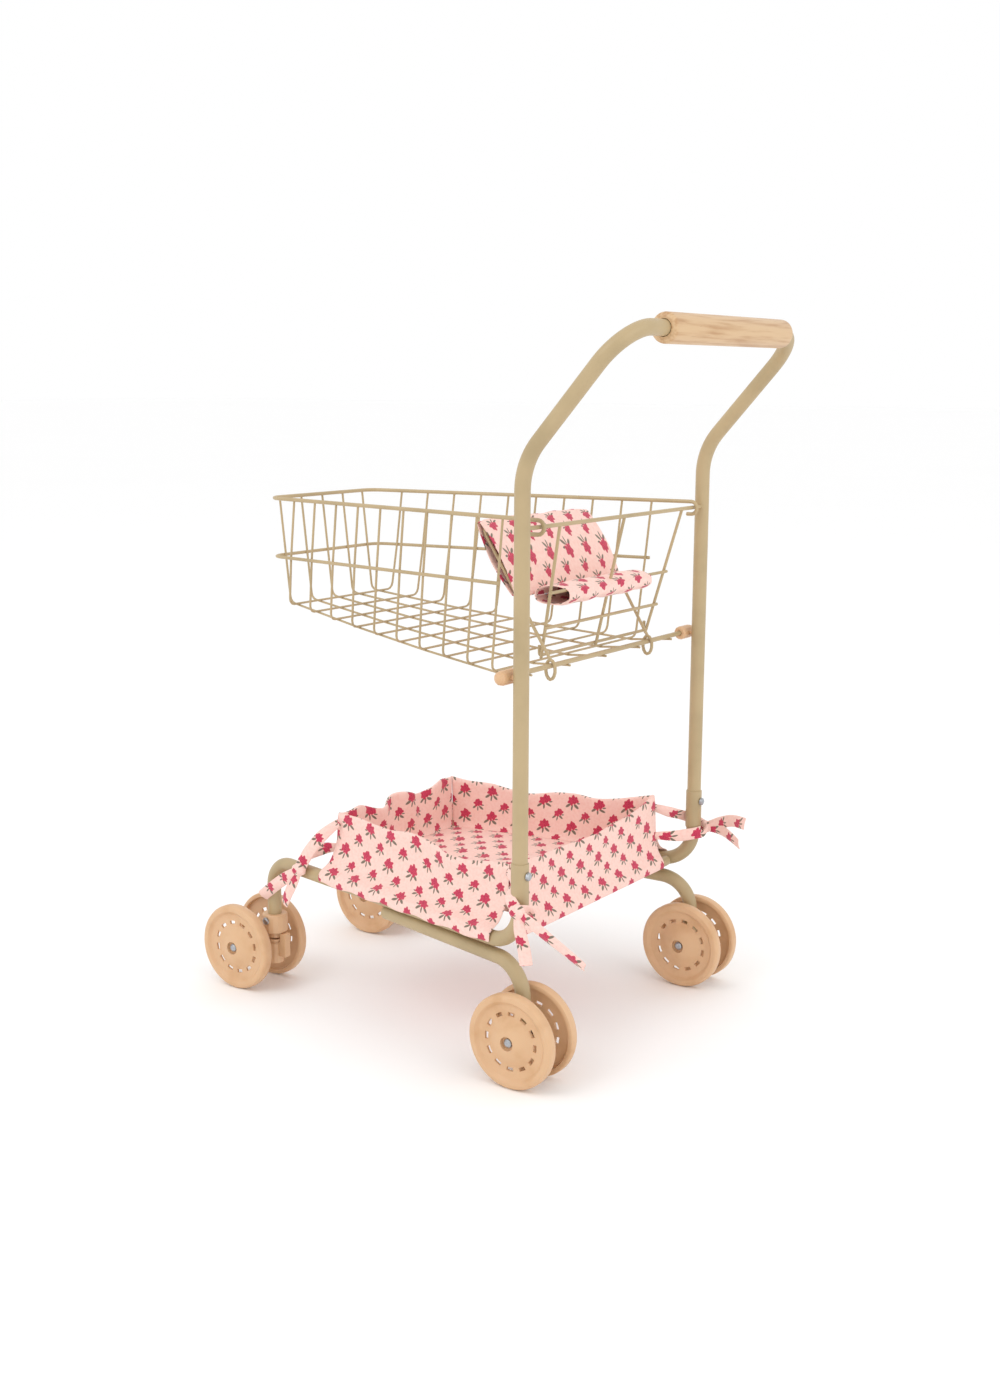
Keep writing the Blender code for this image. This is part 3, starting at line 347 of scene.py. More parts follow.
@dataclass(frozen=True)
class PrintedCotton(Finish):
    """Plain-woven cotton with a small scattered flower print, on the piece's own cloth coordinates."""

    bloom: str = "CB2450"
    bloom_deep: str = "96163A"
    leaf: str = "5F5B47"
    across_mm: float = 27.0
    down_mm: float = 23.0
    thread_mm: float = 0.55

    def sprig(self, u: Field, v: Field, size: float, seed: float) -> tuple[Field, Field, Field]:
        """One flower with its leaves in every cell of the repeat.

        Args:
            u: millimetres across the cloth.
            v: millimetres along the cloth.
            size: how large the flower is drawn.
            seed: shift that tells one set of flowers from the other.

        Returns:
            Masks of the petals, their dark folds and the leaves.
        """
        tree = u.tree
        cell_u = (u * (1.0 / self.across_mm)).floor()
        cell_v = (v * (1.0 / self.down_mm)).floor()
        corner = {0: cell_u.socket, 1: cell_v.socket, 2: seed}
        cell = add_node(tree, "ShaderNodeCombineXYZ", corner).outputs[0]
        chance = Field(tree, add_node(tree, "ShaderNodeTexWhiteNoise", {"Vector": cell}).outputs["Value"])
        x = (u - cell_u * self.across_mm - self.across_mm / 2) * (1.0 / size)
        y = (v - cell_v * self.down_mm - self.down_mm / 2) * (1.0 / size) - 1.0
        lean = chance * 0.7 - 0.35
        x = x + y * lean * 0.4
        petals = None
        folds = None
        for cx, cy, radius, lobes in ((-1.2, 0.6, 3.4, 5.0), (2.4, 1.4, 3.0, 4.0), (0.4, 3.9, 2.0, 3.0)):
            dx = x - cx
            dy = y - cy
            distance = (dx * dx + dy * dy).root()
            turn = dy.angle(dx) * lobes + chance * 6.0
            edge = turn.sine() * (0.2 * radius) + radius
            inside = (edge - distance).ramp(-0.25, 0.3)
            fold = (distance * 3.2 + turn).sine().ramp(0.5, 0.95) * inside
            petals = inside if petals is None else petals.most(inside)
            folds = fold if folds is None else folds.most(fold)
        leaves = None
        for cx, cy, turn_deg, long, wide in (
            (-4.2, -3.4, 35.0, 2.9, 1.1),
            (3.6, -3.8, -34.0, 3.0, 1.15),
            (-0.4, -4.9, 86.0, 2.6, 0.8),
            (5.4, -1.0, 4.0, 1.7, 0.7),
        ):
            c = math.cos(math.radians(turn_deg))
            s = math.sin(math.radians(turn_deg))
            dx = x - cx
            dy = y - cy
            along = (dx * c + dy * s) * (1.0 / long)
            over = (dy * c - dx * s) * (1.0 / wide)
            inside = ((along * along + over * over).root() * -1.0 + 1.0).ramp(-0.15, 0.2)
            leaves = inside if leaves is None else leaves.most(inside)
        return petals, folds, leaves

    def build(self) -> bpy.types.Material:
        """Ground, two sets of sprigs a half drop apart, and the weave."""
        made, tree, shader = self.start()
        where = add_node(tree, "ShaderNodeUVMap", uv_map="cloth").outputs[0]
        parts = add_node(tree, "ShaderNodeSeparateXYZ", {0: where})
        wobble = noise(tree, where, 9.0, 1.0) * 1.6 - 0.8
        u = Field(tree, parts.outputs[0]) * 1000.0 + wobble
        v = Field(tree, parts.outputs[1]) * 1000.0 + wobble
        big = self.sprig(u, v, 1.0, 1.0)
        small = self.sprig(u + self.across_mm / 2, v + self.down_mm / 2, 0.82, 7.0)
        petals, folds, leaves = (one.most(two) for one, two in zip(big, small))
        slub = noise(tree, where, 2.4, 4.0)
        ground = mixed(tree, slub.ramp(0.3, 0.9), srgb(self.colour), srgb("F2C2B5"))
        tone = mixed(tree, leaves * 0.92, ground, srgb(self.leaf))
        tone = mixed(tree, petals * 0.97, tone, srgb(self.bloom))
        tone = mixed(tree, folds * 0.75, tone, srgb(self.bloom_deep))
        tree.links.new(tone, shader.inputs["Base Color"])
        shader.inputs["Sheen Weight"].default_value = 0.18
        shader.inputs["Sheen Roughness"].default_value = 0.6
        # Warp and weft threads over slow puckers.
        warp = (u * (2 * math.pi / self.thread_mm)).sine()
        weft = (v * (2 * math.pi / self.thread_mm)).sine()
        roughen(shader, warp * weft * 0.5 + slub * 0.8, 0.12, 0.4)
        return made


PAINT = PowderCoat("beige_powder_coat", "B9A37C", "painted_steel", 0.42)
PLASTIC = MouldedPlastic("peach_moulded_plastic", "D9B189", "peach_plastic", 0.42)
ZINC = ZincPlate("bright_zinc_plate", "C9CCD0", "zinc_steel", 0.32)
WOOD = LacqueredWood("lacquered_pale_wood", "D3B187", "grip_wood", 0.45)
COTTON = PrintedCotton("flower_print_cotton", "F8D3C8", "printed_cotton", 0.9)


class PaintShop:
    """Builds each finish once and puts it on pieces and CAD nodes."""

    def __init__(self) -> None:
        """Starts with no finish built."""
        self.made: dict[str, bpy.types.Material] = {}

    def coat(self, piece: bpy.types.Object, finish: Finish) -> bpy.types.Object:
        """Covers a piece in one finish.

        Args:
            piece: the object to cover.
            finish: what it is covered in.

        Returns:
            The same object.
        """
        if finish.name not in self.made:
            self.made[finish.name] = finish.build()
        if not piece.material_slots:
            piece.data.materials.append(None)
        for place in piece.material_slots:
            place.material = self.made[finish.name]
        return piece

    def finish(self, piece: bpy.types.Object, finish: Finish, *nodes: str) -> bpy.types.Object:
        """Covers a new piece and has it stand for CAD nodes.

        Args:
            piece: the piece.
            finish: what it is covered in.
            *nodes: the CAD nodes that it stands for.

        Returns:
            The same piece.
        """
        self.coat(piece, finish)
        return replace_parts(piece, *nodes)


# ---------------------------------------------------------------- shaping


def rounded(
    corners: Sequence[Sequence[float]], radii: Sequence[float], step_deg: float = 4.0
) -> list[Vector]:
    """A path with each inner corner turned on an arc.

    Args:
        corners: the corners of the path.
        radii: one radius for each inner corner.
        step_deg: angle between points on an arc.

    Returns:
        The points of the path.
    """
    points = [Vector(p) for p in corners]
    path = [points[0]]
    for before, corner, after, radius in zip(points, points[1:], points[2:], radii):
        arrive = (corner - before).normalized()
        leave = (after - corner).normalized()
        turn = arrive.angle(leave)
        reach = radius * math.tan(turn / 2)
        side = (leave - arrive * arrive.dot(leave)).normalized()
        start = corner - arrive * reach
        steps = max(2, math.ceil(math.degrees(turn) / step_deg))
        for i in range(steps + 1):
            angle = turn * i / steps
            path.append(start + side * radius * (1 - math.cos(angle)) + arrive * radius * math.sin(angle))
    path.append(points[-1])
    return path


def lay_tube(shape: bmesh.types.BMesh, path: Sequence[Vector], radii: Sequence[float], sides: int) -> None:
    """Adds a round closed tube along a path.

    Args:
        shape: the bmesh it goes in.
        path: points of the centreline.
        radii: one radius for each point.
        sides: facets round the tube.
    """
    rings: list[list[bmesh.types.BMEdge]] = []
    side = None
    for i, point in enumerate(path):
        tangent = (path[min(i + 1, len(path) - 1)] - path[max(i - 1, 0)]).normalized()
        if side is None:
            side = tangent.orthogonal()
        side = (side - tangent * side.dot(tangent)).normalized()
        turn = Matrix((side, tangent.cross(side), tangent)).transposed().to_4x4()
        ring = bmesh.ops.create_circle(
            shape, segments=sides, radius=radii[i], matrix=Matrix.Translation(point) @ turn
        )["verts"]
        rings.append(list(dict.fromkeys(edge for vert in ring for edge in vert.link_edges)))
    for one, two in zip(rings, rings[1:]):
        bmesh.ops.bridge_loops(shape, edges=one + two)
    for end in (rings[0], rings[-1]):
        bmesh.ops.contextual_create(shape, geom=end)


def to_piece(name: str, shape: bmesh.types.BMesh, outward: bool = True) -> bpy.types.Object:
    """Turns a bmesh into a smooth-shaded object at the origin.

    Args:
        name: the piece's name.
        shape: the bmesh, which is freed.
        outward: whether its normals are recalculated to face out.

    Returns:
        The new object.
    """
    if outward:
        bmesh.ops.recalc_face_normals(shape, faces=shape.faces)
    mesh = bpy.data.meshes.new(name)
    for face in shape.faces:
        face.smooth = True
    shape.to_mesh(mesh)
    shape.free()
    made = bpy.data.objects.new(name, mesh)
    bpy.context.scene.collection.objects.link(made)
    return made


def bevelled(piece: bpy.types.Object, width_mm: float, angle_deg: float = 32.0) -> bpy.types.Object:
    """Rounds the piece's sharp edges and keeps its shading crisp."""
    edge = piece.modifiers.new("edge", "BEVEL")
    edge.width = width_mm * MM
    edge.segments = 2
    edge.limit_method = "ANGLE"
    edge.angle_limit = math.radians(angle_deg)
    edge.harden_normals = True
    return piece


def turned_on_x(profile: Sequence[tuple[float, float]], steps: int, closed: bool) -> bmesh.types.BMesh:
    """A shape turned about the X axis from (radius, place along X) points.

    Args:
        profile: the outline, in metres.
        steps: facets round the axis.
        closed: whether the outline is a closed loop off the axis.

    Returns:
        The bmesh.
    """
    shape = bmesh.new()
    verts = [shape.verts.new((along, 0.0, -radius)) for radius, along in profile]
    pairs = list(zip(verts, verts[1:]))
    if closed:
        pairs.append((verts[-1], verts[0]))
    edges = [shape.edges.new(pair) for pair in pairs]
    bmesh.ops.spin(
        shape,
        geom=verts + edges,
        axis=(1.0, 0.0, 0.0),
        cent=(0.0, 0.0, 0.0),
        steps=steps,
        angle=2 * math.pi,
        use_merge=True,
    )
    bmesh.ops.remove_doubles(shape, verts=shape.verts, dist=1e-6)
    return shape


@dataclass
class Cloth:
    """A patch of cloth shaped from a grid, with its cloth coordinates in metres."""

    along: int
    across: int
    where: Callable[[float, float], Vector]
    flat: Callable[[float, float], tuple[float, float]]

    def sew(self, shape: bmesh.types.BMesh) -> None:
        """Adds the patch to a bmesh.

        Args:
            shape: the bmesh it goes in.
        """
        layer = shape.loops.layers.uv.get("cloth") or shape.loops.layers.uv.new("cloth")
        made = bmesh.ops.create_grid(shape, x_segments=self.along, y_segments=self.across, size=0.5)
        verts = set(made["verts"])
        shares = {vert: (vert.co.x + 0.5, vert.co.y + 0.5) for vert in verts}
        for face in {face for vert in verts for face in vert.link_faces}:
            for loop in face.loops:
                loop[layer].uv = self.flat(*shares[loop.vert])
        for vert, (s, t) in shares.items():
            vert.co = self.where(s, t)


def cloth_piece(name: str, patches: Iterable[Cloth], thick_mm: float, weld: bool = True) -> bpy.types.Object:
    """Sews patches into one cloth object with a thickness and soft curves.

    Args:
        name: the piece's name.
        patches: the patches.
        thick_mm: how thick the cloth is.
        weld: whether edges that meet are joined.

    Returns:
        The new object.
    """
    shape = bmesh.new()
    for patch in patches:
        patch.sew(shape)
    if weld:
        bmesh.ops.remove_doubles(shape, verts=shape.verts, dist=2e-4)
    made = to_piece(name, shape)
    wall = made.modifiers.new("cloth", "SOLIDIFY")
    wall.thickness = thick_mm * MM
    wall.offset = 0.0
    soft = made.modifiers.new("soft", "SUBSURF")
    soft.levels = soft.render_levels = 1
    return made


def along_curve(points: Sequence[Vector], share: float) -> Vector:
    """Point at a share of the way along a smooth curve through the points."""
    span = share * (len(points) - 1)
    i = min(int(span), len(points) - 2)
    t = span - i
    p = [points[min(max(i + k, 0), len(points) - 1)] for k in (-1, 0, 1, 2)]
    return 0.5 * (
        p[1] * 2 + (p[2] - p[0]) * t + (p[0] * 2 - p[1] * 5 + p[2] * 4 - p[3]) * t**2
        + (p[1] * 3 - p[0] - p[2] * 3 + p[3]) * t**3
    )


def curve_length(points: Sequence[Vector], steps: int = 60) -> float:
    """Length of the smooth curve through the points."""
    run = [along_curve(points, i / steps) for i in range(steps + 1)]
    return sum((b - a).length for a, b in zip(run, run[1:]))


# ---------------------------------------------------------------- sub-assemblies


@dataclass
class Track:
    """Lines of the chassis that the tubes and the cloth follow, in millimetres."""

    rear_x: float = 135.2
    front_x: float = 89.5
    upright_y: float = 127.7
    stem_y: float = -160.3
    rear_z: float = 108.3
    front_z: float = 114.0
    front_bend: float = 22.0
    rear_bend: float = 28.0

    def x(self, y: float) -> float:
        """Distance of the side tube's axis from the middle."""
        spread = (self.rear_x - self.front_x) / (self.upright_y - self.stem_y)
        return self.rear_x + spread * (y - self.upright_y)

    def z(self, y: float) -> float:
        """Height of the side tube's axis."""
        front = self.stem_y + self.front_bend
        rear = self.upright_y - self.rear_bend
        return self.front_z + (self.rear_z - self.front_z) * (y - front) / (rear - front)


@dataclass
class TubeFrame:
    """Bent side tubes, uprights with their handle, rear legs and the wood grip."""

    shop: PaintShop
    nodes: dict[str, bpy.types.Object]
    track: Track = field(default_factory=Track)
    tube_r: float = 5.9
    socket_r: float = 6.8
    elbow_z: float = 465.7
    slant_deg: float = 48.3
    slant_len: float = 124.7
    grip_r: float = 11.0
    grip_half: float = 94.0
    grip_x: float = -8.0
    leg_inset: float = 3.6
    leg_front_y: float = -21.3
    leg_rear_y: float = 129.0
    leg_front_drop: float = 12.1
    leg_rear_drop: float = 15.5
    leg_end_z: float = 30.0

    def tube(self, name: str, corners: list[tuple], radii: list[float], flare: bool = False) -> None:
        """One bent tube that stands for the CAD node of the same name.

        Args:
            name: the CAD node.
            corners: corners of its centreline, in millimetres.
            radii: bend radii, in millimetres.
            flare: whether its last end widens into a socket.
        """
        path = rounded([[c * MM for c in p] for p in corners], [r * MM for r in radii])
        thick = [self.tube_r * MM] * len(path)
        if flare:
            foot = path[-1]
            for lift, radius in ((1.6, self.socket_r), (33.4, self.socket_r), (34.0, self.socket_r - 0.6)):
                path.append(foot + Vector((0.0, 0.0, lift * MM)))
                thick.append(radius * MM)
        shape = bmesh.new()
        lay_tube(shape, path, thick, 28)
        made = bevelled(to_piece(f"{name}_coated", shape), 0.5, 40.0)
        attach(self.shop.finish(made, PAINT, name), "frame")

    def hand(self) -> tuple[float, float]:
        """Place along the cart and height of the grip's axis."""
        slant = math.radians(self.slant_deg)
        return (
            self.track.upright_y + self.slant_len * math.cos(slant),
            self.elbow_z + self.slant_len * math.sin(slant),
        )

    def build(self) -> int:
        """Makes the tubes and the grip.

        Returns:
            How many pieces were made.
        """
        t = self.track
        hand_y, hand_z = self.hand()
        for side in Side:
            k = side.value
            x = k * t.rear_x
            y = t.upright_y
            front = (k * t.front_x, t.stem_y)
            self.tube(
                f"{side.tag}_side_frame",
                [(*front, 57.0), (*front, t.z(t.stem_y)), (x, y, t.z(y)), (x, y, 139.0)],
                [t.front_bend, t.rear_bend],
                flare=True,
            )
            self.tube(
                f"{side.tag}_handle_tube",
                [(x, y, 153.3), (x, y, self.elbow_z), (x, hand_y, hand_z), (k * 60.0, hand_y, hand_z)],
                [52.0, 33.0],
            )
            leg_x = k * (t.rear_x - self.leg_inset)
            near = self.leg_front_y
            far = self.leg_rear_y
            self.tube(
                f"{side.tag}_rear_leg",
                [
                    (k * (t.x(near) - self.leg_inset), near, t.z(near) - self.leg_front_drop),
                    (leg_x, far, t.z(far) - self.leg_rear_drop),
                    (leg_x, far, self.leg_end_z),
                ],
                [t.rear_bend],
            )
        self.turn_grip(hand_y, hand_z)
        return 7

    def turn_grip(self, y: float, z: float) -> None:
        """Turns the wood grip with rounded ends and a bore for each tube.

        Args:
            y: place of its axis along the cart, in millimetres.
            z: height of its axis, in millimetres.
        """
        outline: list[tuple[float, float]] = []
        for sign, end in ((-1.0, self.grip_half - self.grip_x), (1.0, self.grip_half + self.grip_x)):
            half = [(0.0, 59.0), (6.2, 59.0), (6.2, end)]
            for i in range(7):
                angle = math.radians(90.0 - 15.0 * i)
                half.append((self.grip_r - 3.5 + 3.5 * math.cos(angle), end - 3.5 + 3.5 * math.sin(angle)))
            half = [(r * MM, sign * x * MM) for r, x in half]
            outline += half if sign < 0 else half[::-1]
        shape = turned_on_x(outline, 64, closed=False)
        bmesh.ops.translate(shape, verts=shape.verts, vec=(0.0, y * MM, z * MM))
        made = bevelled(to_piece("turned_grip", shape), 0.25, 50.0)
        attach(self.shop.finish(made, WOOD, "handle_grip"), "frame")

    def dress(self) -> None:
        """Coats the cross tubes and plates the socket screws."""
        for end in ("front", "rear"):
            self.shop.coat(self.nodes[f"{end}_cross_tube"], PAINT)
        for side in Side:
            self.shop.coat(self.nodes[f"{side.tag}_socket_screw"], ZINC)


@dataclass
class WheelSet:
    """Eight moulded wheels with slotted dished faces, their pins and screws, and the two casters."""

    shop: PaintShop
    nodes: dict[str, bpy.types.Object]
    radius: float = 37.23
    steps: int = 96
    slots: int = 12
    slot_in: float = 20.35
    slot_out: float = 23.25
    back: float = -2.2
    hub_out: float = 7.0

    def outline(self) -> list[tuple[float, float]]:
        """Section of the wheel as (radius, place along the axle) in millimetres."""
        rim = self.radius
        return [
            (3.0, 2.5), (5.5, 2.5), (5.5, 5.6), (7.5, 5.4), (13.0, 3.6), (17.0, 1.5), (self.slot_in, 0.0),
            (self.slot_out, 0.0), (27.4, 0.0), (29.2, 0.5), (31.6, 2.9), (33.4, 3.2), (35.6, 2.7),
            (rim - 0.6, 1.6),
            (rim, 0.2), (rim, -4.4), (rim - 0.5, -5.6), (35.6, -6.2), (33.4, -6.2), (32.6, self.back),
            (self.slot_out, self.back), (self.slot_in, self.back), (8.0, self.back), (7.5, -7.0), (3.0, -7.0),
        ]

    def cut_slots(self, shape: bmesh.types.BMesh) -> None:
        """Opens the ring of slots through the web.

        Args:
            shape: the turned wheel.
        """
        pitch = 2 * math.pi / self.slots
        half = pitch * 0.24
        groups: dict[int, list[bmesh.types.BMFace]] = {}
        for face in shape.faces:
            centre = face.calc_center_median() / MM
            radius = math.hypot(centre.y, centre.z)
            flat = abs(centre.x) < 0.01 or abs(centre.x - self.back) < 0.01
            turn = math.atan2(centre.y, -centre.z) % (2 * math.pi)
            number = round(turn / pitch)
            if flat and self.slot_in < radius < self.slot_out and abs(turn - number * pitch) < half:
                groups.setdefault(number % self.slots, []).append(face)
        rims = []
        for faces in groups.values():
            inside = set(faces)
            edges = dict.fromkeys(edge for face in faces for edge in face.edges)
            rims.append([edge for edge in edges if sum(f in inside for f in edge.link_faces) == 1])
        gone = [face for faces in groups.values() for face in faces]
        bmesh.ops.delete(shape, geom=gone, context="FACES_ONLY")
        for rim in rims:
            bmesh.ops.bridge_loops(shape, edges=[edge for edge in rim if edge.is_valid])
        loose = [edge for edge in shape.edges if not edge.link_faces]
        bmesh.ops.delete(shape, geom=loose, context="EDGES")

    def build(self) -> int:
        """Makes the eight wheels.

        Returns:
            How many pieces were made.
        """
        base = turned_on_x([(r * MM, x * MM) for r, x in self.outline()], self.steps, closed=True)
        self.cut_slots(base)
        bmesh.ops.recalc_face_normals(base, faces=base.faces)
        phases = iter((-31.2, 12.0, -20.3, 5.0, -45.6, 21.0, -9.0, 14.0))
        count = 0
        for side in Side:
            for end in ("rear", "front"):
                for rank in ("outer", "inner"):
                    node = f"{side.tag}_{end}_{rank}_wheel"
                    outward = side.value if rank == "outer" else -side.value
                    low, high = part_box(node)
                    hub = low.x + self.hub_out * MM if outward > 0 else high.x - self.hub_out * MM
                    shape = base.copy()
                    place = Matrix.Translation((hub, (low.y + high.y) / 2, (low.z + high.z) / 2))
                    turn = Matrix.Rotation(0.0 if outward > 0 else math.pi, 4, "Z")
                    phase = Matrix.Rotation(math.radians(next(phases)), 4, "X")
                    bmesh.ops.transform(shape, matrix=place @ turn @ phase, verts=shape.verts)
                    made = bevelled(to_piece(f"{node}_moulded", shape), 0.28, 28.0)
                    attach(self.shop.finish(made, PLASTIC, node), node)
                    count += 1
        base.free()
        return count

    def dress(self) -> None:
        """Plates the pins and screws and colours the caster mouldings."""
        for name, node in self.nodes.items():
            if name.endswith("_axle") or name.endswith("_screw") and "socket" not in name:
                self.shop.coat(node, ZINC)
            elif name.endswith("_caster_collar") or name.endswith("_caster_body"):
                self.shop.coat(node, PLASTIC)


@dataclass
class Basket:
    """Welded wire basket with its gate, bottom rod and caps, as the CAD has them."""

    shop: PaintShop
    nodes: dict[str, bpy.types.Object]

    def dress(self) -> int:
        """Coats the wires and colours the caps.

        Returns:
            How many nodes were dressed.
        """
        for name in ("wire_basket", "rear_gate", "seat_back_frame"):
            self.shop.coat(self.nodes[name], PAINT)
        for side in Side:
            self.shop.coat(self.nodes[f"{side.tag}_rod_cap"], PLASTIC)
        return 5


@dataclass
class DollSeat:
    """Cloth sleeve over the seat back and the padded sling seat."""

    shop: PaintShop
    back_half: float = 78.0
    back_x: float = 3.0
    seat_half: float = 63.0
    seat_x: float = -1.0

    def loop(
        self, low: Vector, high: Vector, puff: Callable[[float], float], steps: int = 28
    ) -> list[Vector]:
        """A closed (y, z) loop of cloth round a line.

        Args:
            low: one end of the line.
            high: the other end.
            puff: half thickness at a share of the way from low to high.
            steps: points round the loop.

        Returns:
            Points of the loop; the last repeats the first.
        """
        along = high - low
        across = Vector((0.0, -along.z, along.y)).normalized()
        points = []
        for i in range(steps + 1):
            angle = 2 * math.pi * i / steps
            share = 0.5 - 0.5 * math.cos(angle)
            width = puff(share) * math.copysign(abs(math.sin(angle)) ** 0.45, math.sin(angle))
            points.append(low + along * share + across * width)
        return points

    def sleeve(
        self, name: str, node: str, loop: list[Vector], middle: float, half: float, folds: float
    ) -> bpy.types.Object:
        """A tube of cloth whose ends pucker a little.

        Args:
            name: the piece's name.
            node: the CAD node that it stands for.
            loop: its section.
            middle: middle of its width, in millimetres.
            half: half its width, in millimetres.
            folds: height of its folds, in millimetres.

        Returns:
            The sleeve.
        """
        length = curve_length(loop)
        core = sum(loop[:-1], Vector()) / (len(loop) - 1)

        def where(s: float, t: float) -> Vector:
            """Point of the cloth at shares of its width and its girth."""
            point = along_curve(loop, t)
            x = middle + (2 * s - 1) * half
            fold = folds * math.sin(x * 0.16 + 5.0 * t) * math.sin(x * 0.055 + 9.0 * t + 1.0)
            pull = (0.5 - abs(s - 0.5)) * 2
            shrink = 1.0 - 0.05 * (1.0 - min(1.0, pull * 8.0))
            point = core + (point - core) * shrink + (point - core).normalized() * (fold * MM)
            return Vector((x * MM, point.y, point.z))

        patch = Cloth(48, 40, where, lambda s, t: ((middle + (2 * s - 1) * half) * MM, t * length))
        made = self.shop.finish(cloth_piece(name, [patch], 0.9), COTTON, node)
        return made

    def build(self) -> int:
        """Sews the back sleeve and the seat.

        Returns:
            How many pieces were made.
        """
        low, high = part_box("seat_back_cover")
        back = self.loop(
            Vector((0.0, high.y - 0.005, low.z + 0.0035)),
            Vector((0.0, low.y + 0.002, high.z - 0.001)),
            lambda share: (2.6 + 2.2 * math.sin(math.pi * share)) * MM,
        )
        cover = self.sleeve("seat_back_sleeve", "seat_back_cover", back, self.back_x, self.back_half, 0.7)
        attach(cover, "seat_back")
        low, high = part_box("seat_cover")
        middle = (low.z + high.z) / 2
        seat = self.loop(
            Vector((0.0, low.y - 0.001, middle - 0.001)),
            Vector((0.0, high.y, middle + 0.002)),
            lambda share: (5.6 + 2.4 * math.sin(math.pi * share)) * MM,
        )
        sling = self.sleeve("seat_sling", "seat_cover", seat, self.seat_x, self.seat_half, 0.9)
        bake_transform(sling)
        return 2


def evened(points: Sequence[Vector], count: int = 22) -> list[Vector]:
    """Points set at even distances along the smooth curve through the given ones.

    Args:
        points: points of the curve.
        count: how many points come back.

    Returns:
        The even points.
    """
    run = [along_curve(points, i / 120) for i in range(121)]
    reach = [0.0]
    for a, b in zip(run, run[1:]):
        reach.append(reach[-1] + (b - a).length)
    made = []
    i = 0
    for k in range(count):
        want = reach[-1] * k / (count - 1)
        while i < len(reach) - 2 and reach[i + 1] < want:
            i += 1
        share = (want - reach[i]) / max(1e-9, reach[i + 1] - reach[i])
        made.append(run[i].lerp(run[i + 1], min(1.0, share)))
    return made


